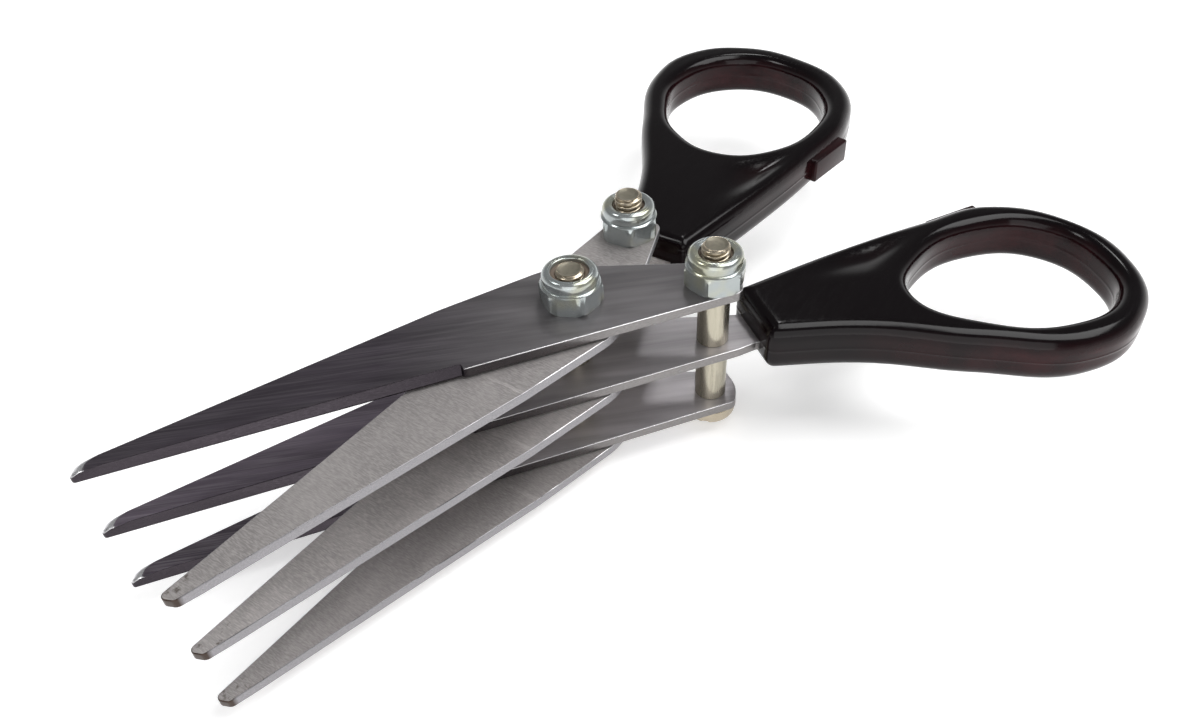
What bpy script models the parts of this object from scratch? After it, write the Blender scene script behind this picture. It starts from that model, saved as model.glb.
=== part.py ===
"""Herb scissors with three pairs of blades on common bolts, and two moulded loop handles.

Units are metres, +Z is up and the origin lies on the pivot axis, on the underside of the pivot
bolt's head. Set A carries the thumb handle and the pivot bolt, and set B turns about it.
Each set is drawn in its own flat frame: u runs from the pivot to the tips, v to the cutting edge.
"""
import math

import bmesh
import bpy
from mathutils import Matrix, Vector

# Clearances
GAP = 0.0003
THREAD_PASSING_GAP = 0.00005
OVERRUN = 0.0010

# Stack of blades
STOCK = 0.0014
LAYER_PITCH = 0.0100
LEVEL_NAMES = ("bottom", "middle", "top")

# Opening of the two sets as shown, and the angle that brings the stop nubs together
OPEN_ANGLE = math.radians(56.8)
NUB_MEETING_ANGLE = math.radians(22.0)

# Bolts
THREAD_DIAMETER = 0.0039
THREAD_CHAMFER = 0.0004
HEAD_DIAMETER = 0.0076
HEAD_HEIGHT = 0.0022
HEAD_ROUND = 0.0013
LINK_DISTANCE = 0.0196
PIVOT_END_HEIGHT = 0.0050
LINK_A_END_HEIGHT = 0.0060
LINK_B_END_HEIGHT = 0.0064

# Nuts with a locking ring
NUT_FLATS = 0.0075
NUT_HEIGHT = 0.0047
NUT_CHAMFER = 0.0004
NUT_HEX_HEIGHT = 0.0029
NUT_COLLAR_ROUND = 0.0008
NUT_LIP = 0.0004
INSERT_HEIGHT = 0.0010
INSERT_WALL = 0.0006
NUT_TURN_A = math.radians(12.0)
NUT_TURN_B = math.radians(20.0)
NUT_TURN_PIVOT = math.radians(4.0)

# Spacer tubes
SPACER_WALL = 0.00025

# Blades
BLADE_A_LENGTH = 0.0618
BLADE_B_LENGTH = 0.0599
BLADE_WIDTH = 0.0154
TAIL_MARGIN = 0.0041
GRIND_TILT = math.radians(24.0)
GRIND_LAND = 0.0004
TANG_DEPTH = 0.0180
TANG_FRONT_WIDTH = 0.0066
TANG_END_WIDTH = 0.0050

# Handles
HANDLE_THICKNESS = 0.0075
HANDLE_ROUND = 0.0017
HANDLE_RISE = 0.0010
NUB_LENGTH = 0.0095
NUB_HEIGHT = 0.0040
NUB_ROOT = 0.0040
NUB_DISTANCE = 0.0605
NUB_ROUND = 0.0004

THUMB_COLLAR = 0.0253
THUMB_LENGTH = 0.0585
THUMB_WIDTH = 0.0342
FINGER_COLLAR = 0.0282
FINGER_LENGTH = 0.0656
FINGER_WIDTH = 0.0386

# Smoothness of the curves and turned shapes
TURNED_STEPS = 24
ARC_STEPS = 4
CURVE_STEPS = 4

# Outline of a blade, as shares of its length or tail (u) and of its width (v and corner radius)
BLADE_FRONT_SHARES = (
    (0.252, 0.710, 0.0),
    (1.000, 1.320, 0.070),
    (0.992, 1.182, 0.050),
    (0.287, -0.097, 1.5),
    (0.025, -0.513, 0.8),
)
BLADE_TAIL_SHARES = (
    (-0.962, -0.240, 0.085),
    (-1.000, -0.020, 0.5),
    (-0.958, 0.208, 0.100),
)
BLADE_SHOULDER_SHARES = (
    (-0.958, 0.208, 0.050),
)
BLADE_HEEL_SHARES = (
    (0.246, 0.726, 0.015),
)
TANG_FRONT_SHARE = -0.062
TANG_END_SHARE = -0.136

# Outlines of the handles, as shares of the handle's length behind its collar and of its width
THUMB_OUTER_SHARES = (
    (-0.015, -0.185),
    (0.285, -0.345),
    (0.525, -0.480),
    (0.730, -0.550),
    (0.912, -0.360),
    (0.982, -0.020),
    (0.915, 0.302),
    (0.738, 0.453),
    (0.490, 0.357),
    (0.250, 0.208),
    (0.019, 0.149),
)
THUMB_HOLE_SHARES = (
    (0.403, 0.015),
    (0.533, 0.240),
    (0.721, 0.313),
    (0.875, 0.190),
    (0.911, -0.064),
    (0.832, -0.333),
    (0.679, -0.400),
    (0.482, -0.254),
)
FINGER_OUTER_SHARES = (
    (-0.010, -0.185),
    (0.241, -0.339),
    (0.454, -0.440),
    (0.668, -0.505),
    (0.850, -0.408),
    (0.958, -0.148),
    (0.978, 0.168),
    (0.887, 0.418),
    (0.729, 0.492),
    (0.485, 0.381),
    (0.226, 0.207),
    (0.012, 0.119),
)
FINGER_HOLE_SHARES = (
    (0.383, -0.052),
    (0.442, 0.166),
    (0.576, 0.316),
    (0.744, 0.350),
    (0.881, 0.181),
    (0.887, -0.109),
    (0.771, -0.334),
    (0.591, -0.376),
    (0.431, -0.244),
)
COLLAR_POINTS = (0, -1)

# Sizes that follow from the ones above
HOLE_DIAMETER = THREAD_DIAMETER + 2 * THREAD_PASSING_GAP
SHANK_DIAMETER = HOLE_DIAMETER - 2 * GAP
NUT_BORE = THREAD_DIAMETER + 2 * GAP
TAIL_LENGTH = LINK_DISTANCE + TAIL_MARGIN
B_BOTTOM = HEAD_HEIGHT + GAP
A_BOTTOM = B_BOTTOM + STOCK + GAP
TOP_LEVEL = len(LEVEL_NAMES) - 1
A_TOP_FACE = A_BOTTOM + TOP_LEVEL * LAYER_PITCH + STOCK
B_TOP_FACE = B_BOTTOM + TOP_LEVEL * LAYER_PITCH + STOCK
TANG_CENTRE = A_BOTTOM + LAYER_PITCH + STOCK / 2
HANDLE_CENTRE = TANG_CENTRE + HANDLE_RISE
NUB_FACE_ANGLE = (OPEN_ANGLE - NUB_MEETING_ANGLE) / 2

# Colours (linear red, green, blue), roughness and metallic value of each finish
STEEL_DARK = ("blade_steel_dark", (0.105, 0.092, 0.099), 0.34, 1.0)
STEEL_PALE = ("blade_steel_pale", (0.362, 0.337, 0.323), 0.36, 1.0)
BOLT_STEEL = ("bolt_steel", (0.462, 0.413, 0.319), 0.30, 1.0)
NUT_ZINC = ("nut_zinc", (0.485, 0.500, 0.520), 0.24, 1.0)
INSERT_NYLON = ("insert_nylon", (0.640, 0.640, 0.600), 0.45, 0.0)
SPACER_NICKEL = ("spacer_nickel", (0.434, 0.407, 0.323), 0.28, 1.0)
HANDLE_PLASTIC = ("handle_plastic", (0.030, 0.010, 0.012), 0.18, 0.0)


def clear_scene():
    for item in list(bpy.data.objects):
        bpy.data.objects.remove(item, do_unlink=True)


def new_collection(name):
    collection = bpy.data.collections.new(name)
    bpy.context.scene.collection.children.link(collection)
    return collection


def new_material(node_name, finish):
    """A Principled material of the piece's own, with the colour and shine of its finish."""
    finish_name, colour, roughness, metallic = finish
    material = bpy.data.materials.new(f"{finish_name}_{node_name}")
    material.use_nodes = True
    shader = material.node_tree.nodes["Principled BSDF"]
    shader.inputs["Base Color"].default_value = (*colour, 1.0)
    shader.inputs["Roughness"].default_value = roughness
    shader.inputs["Metallic"].default_value = metallic
    material.diffuse_color = (*colour, 1.0)
    return material


def new_frame(name, angle):
    """An empty on the pivot axis, turned to one set's direction."""
    frame = bpy.data.objects.new(name, None)
    frame.rotation_euler.z = angle
    PARTS.objects.link(frame)
    return frame


def as_piece(item, frame, finish):
    """Puts an object among the parts, under its set, with its own material."""
    PARTS.objects.link(item)
    item.parent = frame
    item.data.materials.append(new_material(item.name, finish))
    item.data.shade_smooth()
    item.data.set_sharp_from_angle(angle=math.radians(35.0))
    return item


def as_cutter(item, frame):
    """Puts an object among the cutters, under its set, unseen in renders."""
    CUTTERS.objects.link(item)
    item.parent = frame
    item.hide_render = True
    item.display_type = "WIRE"
    return item


def combine(item, other, operation):
    """A Boolean of one object with a cutter or an added form."""
    modifier = item.modifiers.new(f"{operation.lower()} {other.name}", "BOOLEAN")
    modifier.operation = operation
    modifier.solver = "EXACT"
    modifier.object = other


def turned(name, profile, closed=False):
    """A turned solid: a profile that runs down its outer side, swept round Z."""
    mesh = bpy.data.meshes.new(name)
    points = [(radius, 0.0, height) for radius, height in profile]
    edges = [(index, index + 1) for index in range(len(points) - 1)]
    if closed:
        edges.append((len(points) - 1, 0))
    mesh.from_pydata(points, edges, [])
    item = bpy.data.objects.new(name, mesh)
    screw = item.modifiers.new("turn", "SCREW")
    screw.steps = TURNED_STEPS
    screw.render_steps = TURNED_STEPS
    screw.use_merge_vertices = True
    screw.merge_threshold = 0.00001
    return item


def arc(centre, radius, start, end, steps=ARC_STEPS):
    """Points of an arc from one angle to another, both ends included."""
    points = []
    for step in range(steps + 1):
        angle = start + (end - start) * step / steps
        points.append((centre[0] + radius * math.cos(angle), centre[1] + radius * math.sin(angle)))
    return points


def filleted(corners):
    """A closed outline from corners (u, v, radius), each rounded by an arc of its radius."""
    outline = []
    for index, (u, v, radius) in enumerate(corners):
        corner = Vector((u, v))
        before = Vector(corners[index - 1][:2]) - corner
        after = Vector(corners[(index + 1) % len(corners)][:2]) - corner
        half = before.angle(after) / 2
        if radius == 0 or half == 0:
            outline.append((u, v))
            continue
        tangent = min(radius / math.tan(half), before.length / 2, after.length / 2)
        true_radius = tangent * math.tan(half)
        centre = corner + (before.normalized() + after.normalized()).normalized() * true_radius / math.sin(half)
        start = corner + before.normalized() * tangent - centre
        end = corner + after.normalized() * tangent - centre
        first = math.atan2(start.y, start.x)
        turn = (math.atan2(end.y, end.x) - first + math.pi) % math.tau - math.pi
        outline.extend(arc(centre, true_radius, first, first + turn))
    return outline


def curve_to_mesh(name, curve):
    """A mesh of a filled curve, with its caps welded to its sides."""
    draft = bpy.data.objects.new(f"draft_{name}", curve)
    PARTS.objects.link(draft)
    bpy.context.view_layer.update()
    evaluated = draft.evaluated_get(bpy.context.evaluated_depsgraph_get())
    mesh = bpy.data.meshes.new_from_object(evaluated)
    form = bmesh.new()
    form.from_mesh(mesh)
    bmesh.ops.remove_doubles(form, verts=form.verts, dist=0.00001)
    bmesh.ops.recalc_face_normals(form, faces=form.faces)
    form.to_mesh(mesh)
    form.free()
    item = bpy.data.objects.new(name, mesh)
    item.matrix_world = draft.matrix_world
    bpy.data.objects.remove(draft, do_unlink=True)
    return item


def flat_plate(name, outline, thickness):
    """A plate of one closed straight-sided outline, centred on its own middle plane."""
    curve = bpy.data.curves.new(name, "CURVE")
    curve.dimensions = "2D"
    curve.fill_mode = "BOTH"
    curve.extrude = thickness / 2
    spline = curve.splines.new("POLY")
    spline.points.add(len(outline) - 1)
    for point, (x, y) in zip(spline.points, outline):
        point.co = (x, y, 0.0, 1.0)
    spline.use_cyclic_u = True
    return curve_to_mesh(name, curve)


def smooth_loop(curve, points, corners=()):
    """Adds a closed smooth spline, straight-sided at the corners that are given."""
    spline = curve.splines.new("BEZIER")
    spline.bezier_points.add(len(points) - 1)
    spline.resolution_u = CURVE_STEPS
    for point, (x, y) in zip(spline.bezier_points, points):
        point.co = (x, y, 0.0)
        point.handle_left_type = "AUTO"
        point.handle_right_type = "AUTO"
    for corner in corners:
        spline.bezier_points[corner].handle_left_type = "VECTOR"
        spline.bezier_points[corner].handle_right_type = "VECTOR"
    spline.use_cyclic_u = True


def box(name, size, matrix):
    """A box of the given size about the middle of the given placement."""
    form = bmesh.new()
    bmesh.ops.create_cube(form, size=1.0, matrix=matrix @ Matrix.Diagonal((*size, 1.0)))
    mesh = bpy.data.meshes.new(name)
    form.to_mesh(mesh)
    form.free()
    return bpy.data.objects.new(name, mesh)


def hole_cutter(name, frame, x):
    """A round cutter through the whole stack at a bolt."""
    height = A_TOP_FACE + 2 * OVERRUN
    radius = HOLE_DIAMETER / 2
    cutter = as_cutter(turned(name, [(0, height), (radius, height), (radius, 0), (0, 0)]), frame)
    cutter.location = (x, 0, -OVERRUN)
    return cutter


def tang_outline(collar, grow=0.0):
    """Corners of the tang from its shoulder to its end, widened all round for its pocket."""
    front = -collar
    end = -collar - TANG_DEPTH - grow
    front_v = TANG_FRONT_SHARE * BLADE_WIDTH
    end_v = TANG_END_SHARE * BLADE_WIDTH
    front_half = TANG_FRONT_WIDTH / 2 + grow
    end_half = TANG_END_WIDTH / 2 + grow
    return ((front, front_v - front_half), (end, end_v - end_half),
            (end, end_v + end_half), (front, front_v + front_half))


def blade_outline(length, collar):
    """Outline of a blade in its set's flat frame, with a tang if it has a collar to reach."""
    def corners(shares, reach):
        return [(u * reach, v * BLADE_WIDTH, r * BLADE_WIDTH) for u, v, r in shares]

    front = corners(BLADE_FRONT_SHARES, length)
    heel = corners(BLADE_HEEL_SHARES, length)
    if collar is None:
        return filleted(front + corners(BLADE_TAIL_SHARES, TAIL_LENGTH) + heel)
    tang = [(u, v, TANG_END_WIDTH / 4) for u, v in tang_outline(collar)]
    return filleted(front + tang + corners(BLADE_SHOULDER_SHARES, TAIL_LENGTH) + heel)


def grind_cutter(name, frame, side, length):
    """A leaning block that grinds the outer face of a blade down to its cutting edge."""
    heel_u, tip_u = [shares[0] * length for shares in BLADE_FRONT_SHARES[:2]]
    heel_v, tip_v = [shares[1] * BLADE_WIDTH for shares in BLADE_FRONT_SHARES[:2]]
    along = math.atan2(tip_v - heel_v, tip_u - heel_u)
    reach = math.hypot(tip_u - heel_u, tip_v - heel_v) + OVERRUN
    breadth = 2 * STOCK + OVERRUN
    placement = (Matrix.Translation((heel_u, side * heel_v, -side * (STOCK / 2 - GRIND_LAND)))
                 @ Matrix.Rotation(side * along, 4, "Z")
                 @ Matrix.Rotation(GRIND_TILT, 4, "X")
                 @ Matrix.Translation((reach / 2, side * breadth / 2, 0)))
    return as_cutter(box(name, (reach, breadth, 2 * breadth), placement), frame)


def crank(item, collar, rise):
    """Bends the tang up by a rise between the tail of the blade and the collar."""
    form = bmesh.new()
    form.from_mesh(item.data)
    start = -TAIL_LENGTH
    end = -collar + GAP
    for place in (start, end):
        geometry = form.verts[:] + form.edges[:] + form.faces[:]
        bmesh.ops.bisect_plane(form, geom=geometry, dist=0.000001, plane_co=(place, 0, 0), plane_no=(1, 0, 0))
    for vertex in form.verts:
        share = (vertex.co.x - start) / (end - start)
        vertex.co.z += rise * min(1.0, max(0.0, share))
    form.to_mesh(item.data)
    form.free()


def make_blades(letter, frame, side, bottom, length, collar, finish, rise):
    """The three blades of a set; the middle one has the tang."""
    pivot_cutter = hole_cutter(f"cut_pivot_hole_{letter}", frame, 0)
    link_cutter = hole_cutter(f"cut_link_hole_{letter}", frame, -LINK_DISTANCE)
    for level, level_name in enumerate(LEVEL_NAMES):
        name = f"blade_{letter}_{level_name}"
        has_tang = level_name == "middle"
        outline = [(u, side * v) for u, v in blade_outline(length, collar if has_tang else None)]
        blade = as_piece(flat_plate(name, outline, STOCK), frame, finish)
        height = bottom + level * LAYER_PITCH + STOCK / 2
        blade.location.z = height
        if has_tang and rise:
            crank(blade, collar, rise)
        grind = grind_cutter(f"cut_edge_{letter}_{level_name}", frame, side, length)
        grind.location.z = height
        for cutter in (pivot_cutter, link_cutter, grind):
            combine(blade, cutter, "DIFFERENCE")


def make_handle(name, frame, side, sizes, outer_shares, hole_shares, finish):
    """A moulded loop handle with the pocket for its tang and its stop nub."""
    collar, length, width = sizes

    def placed(shares):
        return [(-collar - u * length, side * v * width) for u, v in shares]

    curve = bpy.data.curves.new(name, "CURVE")
    curve.dimensions = "2D"
    curve.fill_mode = "BOTH"
    curve.extrude = HANDLE_THICKNESS / 2 - HANDLE_ROUND
    curve.bevel_depth = HANDLE_ROUND
    curve.bevel_resolution = 2
    curve.offset = -HANDLE_ROUND
    outer = placed(outer_shares)
    hole = placed(hole_shares)
    if side < 0:
        outer.reverse()
        hole.reverse()
    smooth_loop(curve, outer, COLLAR_POINTS)
    smooth_loop(curve, hole)
    handle = as_piece(curve_to_mesh(name, curve), frame, finish)
    handle.location.z = HANDLE_CENTRE
    combine(handle, nub_form(f"form_nub_{name}", frame, side), "UNION")
    combine(handle, tang_pocket(f"cut_pocket_{name}", frame, side, collar), "DIFFERENCE")
    return handle


def nub_form(name, frame, side):
    """The stop nub: a small block whose outer face lies on a ray from the pivot."""
    placement = (Matrix.Translation((0, 0, HANDLE_CENTRE))
                 @ Matrix.Rotation(math.pi + side * NUB_FACE_ANGLE, 4, "Z")
                 @ Matrix.Translation((NUB_DISTANCE + NUB_LENGTH / 2, -side * NUB_ROOT / 2, 0)))
    nub = as_cutter(box(name, (NUB_LENGTH, NUB_ROOT, NUB_HEIGHT), placement), frame)
    rounding = nub.modifiers.new("round", "BEVEL")
    rounding.width = NUB_ROUND
    rounding.segments = 2
    return nub


def tang_pocket(name, frame, side, collar):
    """The pocket in a handle, a clearance wider than the tang, open at the collar."""
    corners = list(tang_outline(collar, GAP))
    (u1, v1), (u2, v2) = corners[0], corners[1]
    (u3, v3), (u4, v4) = corners[2], corners[3]
    mouth = -collar + TANG_FRONT_WIDTH
    lower = v1 + (v1 - v2) / (u1 - u2) * (mouth - u1)
    upper = v4 + (v4 - v3) / (u4 - u3) * (mouth - u4)
    outline = [(mouth, side * lower), (u2, side * v2), (u3, side * v3), (mouth, side * upper)]
    pocket = as_cutter(flat_plate(name, outline, STOCK + 2 * GAP), frame)
    pocket.location.z = TANG_CENTRE
    return pocket


def make_bolt(name, frame, x, head_bottom, thread_start, end):
    """A bolt with a low flat head below, a plain shank and a thicker threaded end."""
    shank = SHANK_DIAMETER / 2
    thread = THREAD_DIAMETER / 2
    head = HEAD_DIAMETER / 2
    head_top = head_bottom + HEAD_HEIGHT
    round_centre = (head - HEAD_ROUND, head_bottom + HEAD_ROUND)
    profile = [(0, end), (thread - THREAD_CHAMFER, end), (thread, end - THREAD_CHAMFER),
               (thread, thread_start), (shank, thread_start), (shank, head_top), (head, head_top)]
    profile.extend(arc(round_centre, HEAD_ROUND, 0, -math.pi / 2))
    profile.append((0, head_bottom))
    bolt = as_piece(turned(name, profile), frame, BOLT_STEEL)
    bolt.location.x = x
    return bolt


def make_nut(name, frame, x, base, turn):
    """A hexagon nut with a round collar on top, whose rolled lip holds the locking ring."""
    half_flats = NUT_FLATS / 2
    corner = half_flats / math.cos(math.pi / 6)
    form = bmesh.new()
    bmesh.ops.create_cone(form, cap_ends=True, segments=6, radius1=corner, radius2=corner, depth=NUT_HEIGHT,
                          matrix=Matrix.Translation((0, 0, NUT_HEIGHT / 2)) @ Matrix.Rotation(turn, 4, "Z"))
    mesh = bpy.data.meshes.new(name)
    form.to_mesh(mesh)
    form.free()
    nut = as_piece(bpy.data.objects.new(name, mesh), frame, NUT_ZINC)
    nut.location = (x, 0, base)

    collar = half_flats - GAP / 2
    outer = corner + OVERRUN
    envelope = [(0, NUT_HEIGHT)]
    envelope.extend(arc((collar - NUT_COLLAR_ROUND, NUT_HEIGHT - NUT_COLLAR_ROUND), NUT_COLLAR_ROUND,
                        math.pi / 2, 0))
    envelope.extend([(collar, NUT_HEX_HEIGHT), (corner, NUT_HEX_HEIGHT - NUT_CHAMFER), (outer, NUT_CHAMFER),
                     (collar, -NUT_CHAMFER), (0, -NUT_CHAMFER)])
    shape = as_cutter(turned(f"form_{name}", envelope), frame)
    shape.location = nut.location
    combine(nut, shape, "INTERSECT")

    bore = NUT_BORE / 2
    pocket = bore + INSERT_WALL + GAP
    pocket_top = NUT_HEIGHT - NUT_LIP
    pocket_floor = pocket_top - INSERT_HEIGHT - 2 * GAP
    lip = bore + INSERT_WALL / 2
    inside = [(0, NUT_HEIGHT + OVERRUN), (lip, NUT_HEIGHT + OVERRUN), (lip, pocket_top), (pocket, pocket_top),
              (pocket, pocket_floor), (bore, pocket_floor), (bore, -OVERRUN), (0, -OVERRUN)]
    cutter = as_cutter(turned(f"cut_{name}", inside), frame)
    cutter.location = nut.location
    combine(nut, cutter, "DIFFERENCE")
    make_insert(name.replace("nut", "nut_insert"), frame, x, base + pocket_floor + GAP)


def make_tube(name, frame, x, base, height, bore, wall, finish):
    """A plain ring or tube of a given height."""
    outer = bore / 2 + wall
    profile = [(outer, height), (outer, 0), (bore / 2, 0), (bore / 2, height)]
    tube = as_piece(turned(name, profile, closed=True), frame, finish)
    tube.location = (x, 0, base)
    return tube


def make_insert(name, frame, x, base):
    """The nylon ring that locks the nut on its thread."""
    make_tube(name, frame, x, base, INSERT_HEIGHT, NUT_BORE, INSERT_WALL, INSERT_NYLON)


def make_spacers(prefix, frame, x, lower_face, height):
    """The lower and upper spacer tubes of one bolt."""
    for level, level_name in enumerate(("lower", "upper")):
        base = lower_face + level * LAYER_PITCH + GAP
        make_tube(f"{prefix}_spacer_{level_name}", frame, x, base, height, HOLE_DIAMETER, SPACER_WALL,
                  SPACER_NICKEL)


def make_set_a():
    frame = new_frame("set_a", -OPEN_ANGLE / 2)
    make_blades("a", frame, 1, A_BOTTOM, BLADE_A_LENGTH, THUMB_COLLAR, STEEL_DARK, 0.0)
    make_handle("handle_thumb", frame, 1, (THUMB_COLLAR, THUMB_LENGTH, THUMB_WIDTH),
                THUMB_OUTER_SHARES, THUMB_HOLE_SHARES, HANDLE_PLASTIC)
    seat = A_TOP_FACE + GAP
    make_bolt("pivot_bolt", frame, 0, 0.0, seat, A_TOP_FACE + PIVOT_END_HEIGHT)
    make_nut("pivot_nut", frame, 0, seat, NUT_TURN_PIVOT)
    make_spacers("pivot", frame, 0, A_BOTTOM + STOCK, LAYER_PITCH - 2 * STOCK - 3 * GAP)
    make_bolt("link_bolt_a", frame, -LINK_DISTANCE, A_BOTTOM - GAP - HEAD_HEIGHT, seat,
              A_TOP_FACE + LINK_A_END_HEIGHT)
    make_nut("link_nut_a", frame, -LINK_DISTANCE, seat, NUT_TURN_A)
    make_spacers("link_a", frame, -LINK_DISTANCE, A_BOTTOM + STOCK, LAYER_PITCH - STOCK - 2 * GAP)


def make_set_b():
    frame = new_frame("set_b", OPEN_ANGLE / 2)
    make_blades("b", frame, -1, B_BOTTOM, BLADE_B_LENGTH, FINGER_COLLAR, STEEL_PALE, A_BOTTOM - B_BOTTOM)
    make_handle("handle_finger", frame, -1, (FINGER_COLLAR, FINGER_LENGTH, FINGER_WIDTH),
                FINGER_OUTER_SHARES, FINGER_HOLE_SHARES, HANDLE_PLASTIC)
    seat = B_TOP_FACE + GAP
    make_bolt("link_bolt_b", frame, -LINK_DISTANCE, B_BOTTOM - GAP - HEAD_HEIGHT, seat,
              B_TOP_FACE + LINK_B_END_HEIGHT)
    make_nut("link_nut_b", frame, -LINK_DISTANCE, seat, NUT_TURN_B)
    make_spacers("link_b", frame, -LINK_DISTANCE, B_BOTTOM + STOCK, LAYER_PITCH - STOCK - 2 * GAP)


clear_scene()
PARTS = new_collection("herb_scissors")
CUTTERS = new_collection("cutters")
make_set_a()
make_set_b()
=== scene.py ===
"""Herb scissors with three pairs of blades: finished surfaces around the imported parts."""
import math
from collections import namedtuple

import bmesh
import bpy
import numpy as np
from bpy.props import FloatProperty, FloatVectorProperty, PointerProperty
from mathutils import Matrix, Vector, geometry


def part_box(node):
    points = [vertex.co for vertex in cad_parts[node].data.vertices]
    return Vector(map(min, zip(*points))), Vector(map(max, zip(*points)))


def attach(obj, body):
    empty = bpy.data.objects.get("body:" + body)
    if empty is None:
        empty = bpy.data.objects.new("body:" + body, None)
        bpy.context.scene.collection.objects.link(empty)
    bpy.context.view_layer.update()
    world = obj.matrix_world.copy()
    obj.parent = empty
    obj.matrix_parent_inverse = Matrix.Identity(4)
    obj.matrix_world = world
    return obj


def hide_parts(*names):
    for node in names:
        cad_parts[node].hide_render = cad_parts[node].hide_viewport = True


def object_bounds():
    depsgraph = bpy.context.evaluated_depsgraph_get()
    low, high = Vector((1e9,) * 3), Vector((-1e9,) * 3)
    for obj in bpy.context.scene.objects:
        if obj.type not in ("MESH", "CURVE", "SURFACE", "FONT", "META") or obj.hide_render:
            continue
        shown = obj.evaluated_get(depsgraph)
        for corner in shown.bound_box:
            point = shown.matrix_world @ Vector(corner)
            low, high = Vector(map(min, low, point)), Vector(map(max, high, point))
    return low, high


bl_info = {
    "name": "Herb Scissors",
    "version": (1, 0, 0),
    "blender": (4, 5, 0),
    "location": "View3D > Sidebar > Scissors",
    "description": "Builds the finished surfaces of multi-blade herb scissors",
    "category": "Add Mesh",
}

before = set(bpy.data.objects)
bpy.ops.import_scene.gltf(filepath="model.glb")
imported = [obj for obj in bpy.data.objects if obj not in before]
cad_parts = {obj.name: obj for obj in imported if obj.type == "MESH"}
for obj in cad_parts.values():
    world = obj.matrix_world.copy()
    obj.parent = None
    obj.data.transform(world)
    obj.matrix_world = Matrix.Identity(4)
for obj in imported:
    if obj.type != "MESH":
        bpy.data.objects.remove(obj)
CAD_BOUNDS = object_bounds()
MM = 0.001

# The two sets of pieces: body, direction of the tips, side of the cutting edge
OPEN_ANGLE = math.radians(56.8)
BladeSet = namedtuple("BladeSet", "body angle side")
SETS = {
    "a": BladeSet("thumb_set", -OPEN_ANGLE / 2, 1),
    "b": BladeSet("finger_set", OPEN_ANGLE / 2, -1),
}

# The stack on each bolt: its set, the names of its nodes, its place as a share of the link distance, how far
# its nut and the slot in its head are turned, and how far the rim of its nut is worn open
Stack = namedtuple("Stack", "letter fasteners spacers place_share nut_turn slot_turn worn")
STACKS = (
    Stack("a", "pivot_{}", "pivot_spacer_{}", 0.0, math.radians(12.5), math.radians(35.0), 0.25 * MM),
    Stack("a", "link_{}_a", "link_a_spacer_{}", -1.0, math.radians(34.7), math.radians(66.5), 0.0),
    Stack("b", "link_{}_b", "link_b_spacer_{}", -1.0, math.radians(-4.0), math.radians(10.0), 0.0),
)

# The layers of blades, each with how bright its dark front, its dark rear and its pale face are painted. This
# is painted light: each layer's copy of the steel is made brighter or darker for the light and shade that
# fall on it, and the lower layers are brightened against the shade of those above
LEVEL_LIGHT_SHARES = (
    ("bottom", 1.45, 2.50, 1.26),
    ("middle", 2.90, 2.05, 1.50),
    ("top", 1.00, 0.88, 1.18),
)

# Outline of a blade, as shares of its length or tail (u) and of its width (v and corner radius)
BLADE_FRONT_SHARES = (
    (0.252, 0.710, 0.0),
    (1.000, 1.320, 0.070),
    (0.992, 1.182, 0.050),
    (0.287, -0.097, 1.5),
    (0.025, -0.513, 0.8),
)
DARK_TIP_SHARES = (
    (0.999, 1.330, 0.030),
    (0.992, 1.208, 0.090),
    (0.930, 1.100, 0.6),
)
BLADE_TAIL_SHARES = (
    (-0.962, -0.240, 0.085),
    (-1.000, -0.020, 0.5),
    (-0.958, 0.208, 0.100),
)
BLADE_SHOULDER_SHARES = (
    (-0.958, 0.208, 0.050),
)
BLADE_HEEL_SHARES = (
    (0.246, 0.726, 0.015),
)
TANG_FRONT_SHARE = -0.062
TANG_END_SHARE = -0.136

# How near the line of the cutting edge the outline is ground, as a share of the blade's width, and where the
# grinding has run out and the tip has fallen away in full, as shares of the tip zone before the tip
EDGE_BAND_SHARE = 0.05
GRIND_END_SHARE = 0.10
FALL_END_SHARE = 0.15

# Outlines of the handles, as shares of the handle's length behind its collar and of its width
THUMB_OUTER_SHARES = (
    (-0.015, -0.185),
    (0.285, -0.366),
    (0.525, -0.487),
    (0.730, -0.550),
    (0.912, -0.360),
    (0.982, -0.020),
    (0.915, 0.302),
    (0.738, 0.453),
    (0.490, 0.357),
    (0.250, 0.208),
    (0.019, 0.149),
)
THUMB_HOLE_SHARES = (
    (0.403, 0.015),
    (0.533, 0.240),
    (0.721, 0.313),
    (0.875, 0.190),
    (0.911, -0.064),
    (0.832, -0.333),
    (0.679, -0.400),
    (0.482, -0.254),
)
FINGER_OUTER_SHARES = (
    (-0.048, -0.178),
    (0.241, -0.339),
    (0.454, -0.440),
    (0.668, -0.505),
    (0.850, -0.408),
    (0.958, -0.148),
    (0.978, 0.168),
    (0.887, 0.418),
    (0.729, 0.492),
    (0.485, 0.381),
    (0.226, 0.207),
    (-0.026, 0.112),
)
FINGER_HOLE_SHARES = (
    (0.383, -0.052),
    (0.442, 0.166),
    (0.576, 0.316),
    (0.744, 0.350),
    (0.881, 0.181),
    (0.887, -0.109),
    (0.771, -0.334),
    (0.591, -0.376),
    (0.431, -0.244),
)

# Points on a handle's faces: spacing along its outlines, depths of the rings that follow its rounded edges,
# how much of its depth a ring's point may be off the edges, the depth past which an even pattern takes over,
# that pattern's spacing, and how close two points may lie
OUTLINE_SPACING = 0.45 * MM
RING_DEPTHS = tuple(depth * MM for depth in (0.06, 0.16, 0.32, 0.55, 0.85, 1.2, 1.6, 2.0))
RING_SHARE = 0.97
RINGED_DEPTH = 2.3 * MM
FACE_SPACING = 0.55 * MM
ROW_SHARE = 0.866
TWIN_DISTANCE = 0.16 * MM

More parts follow.
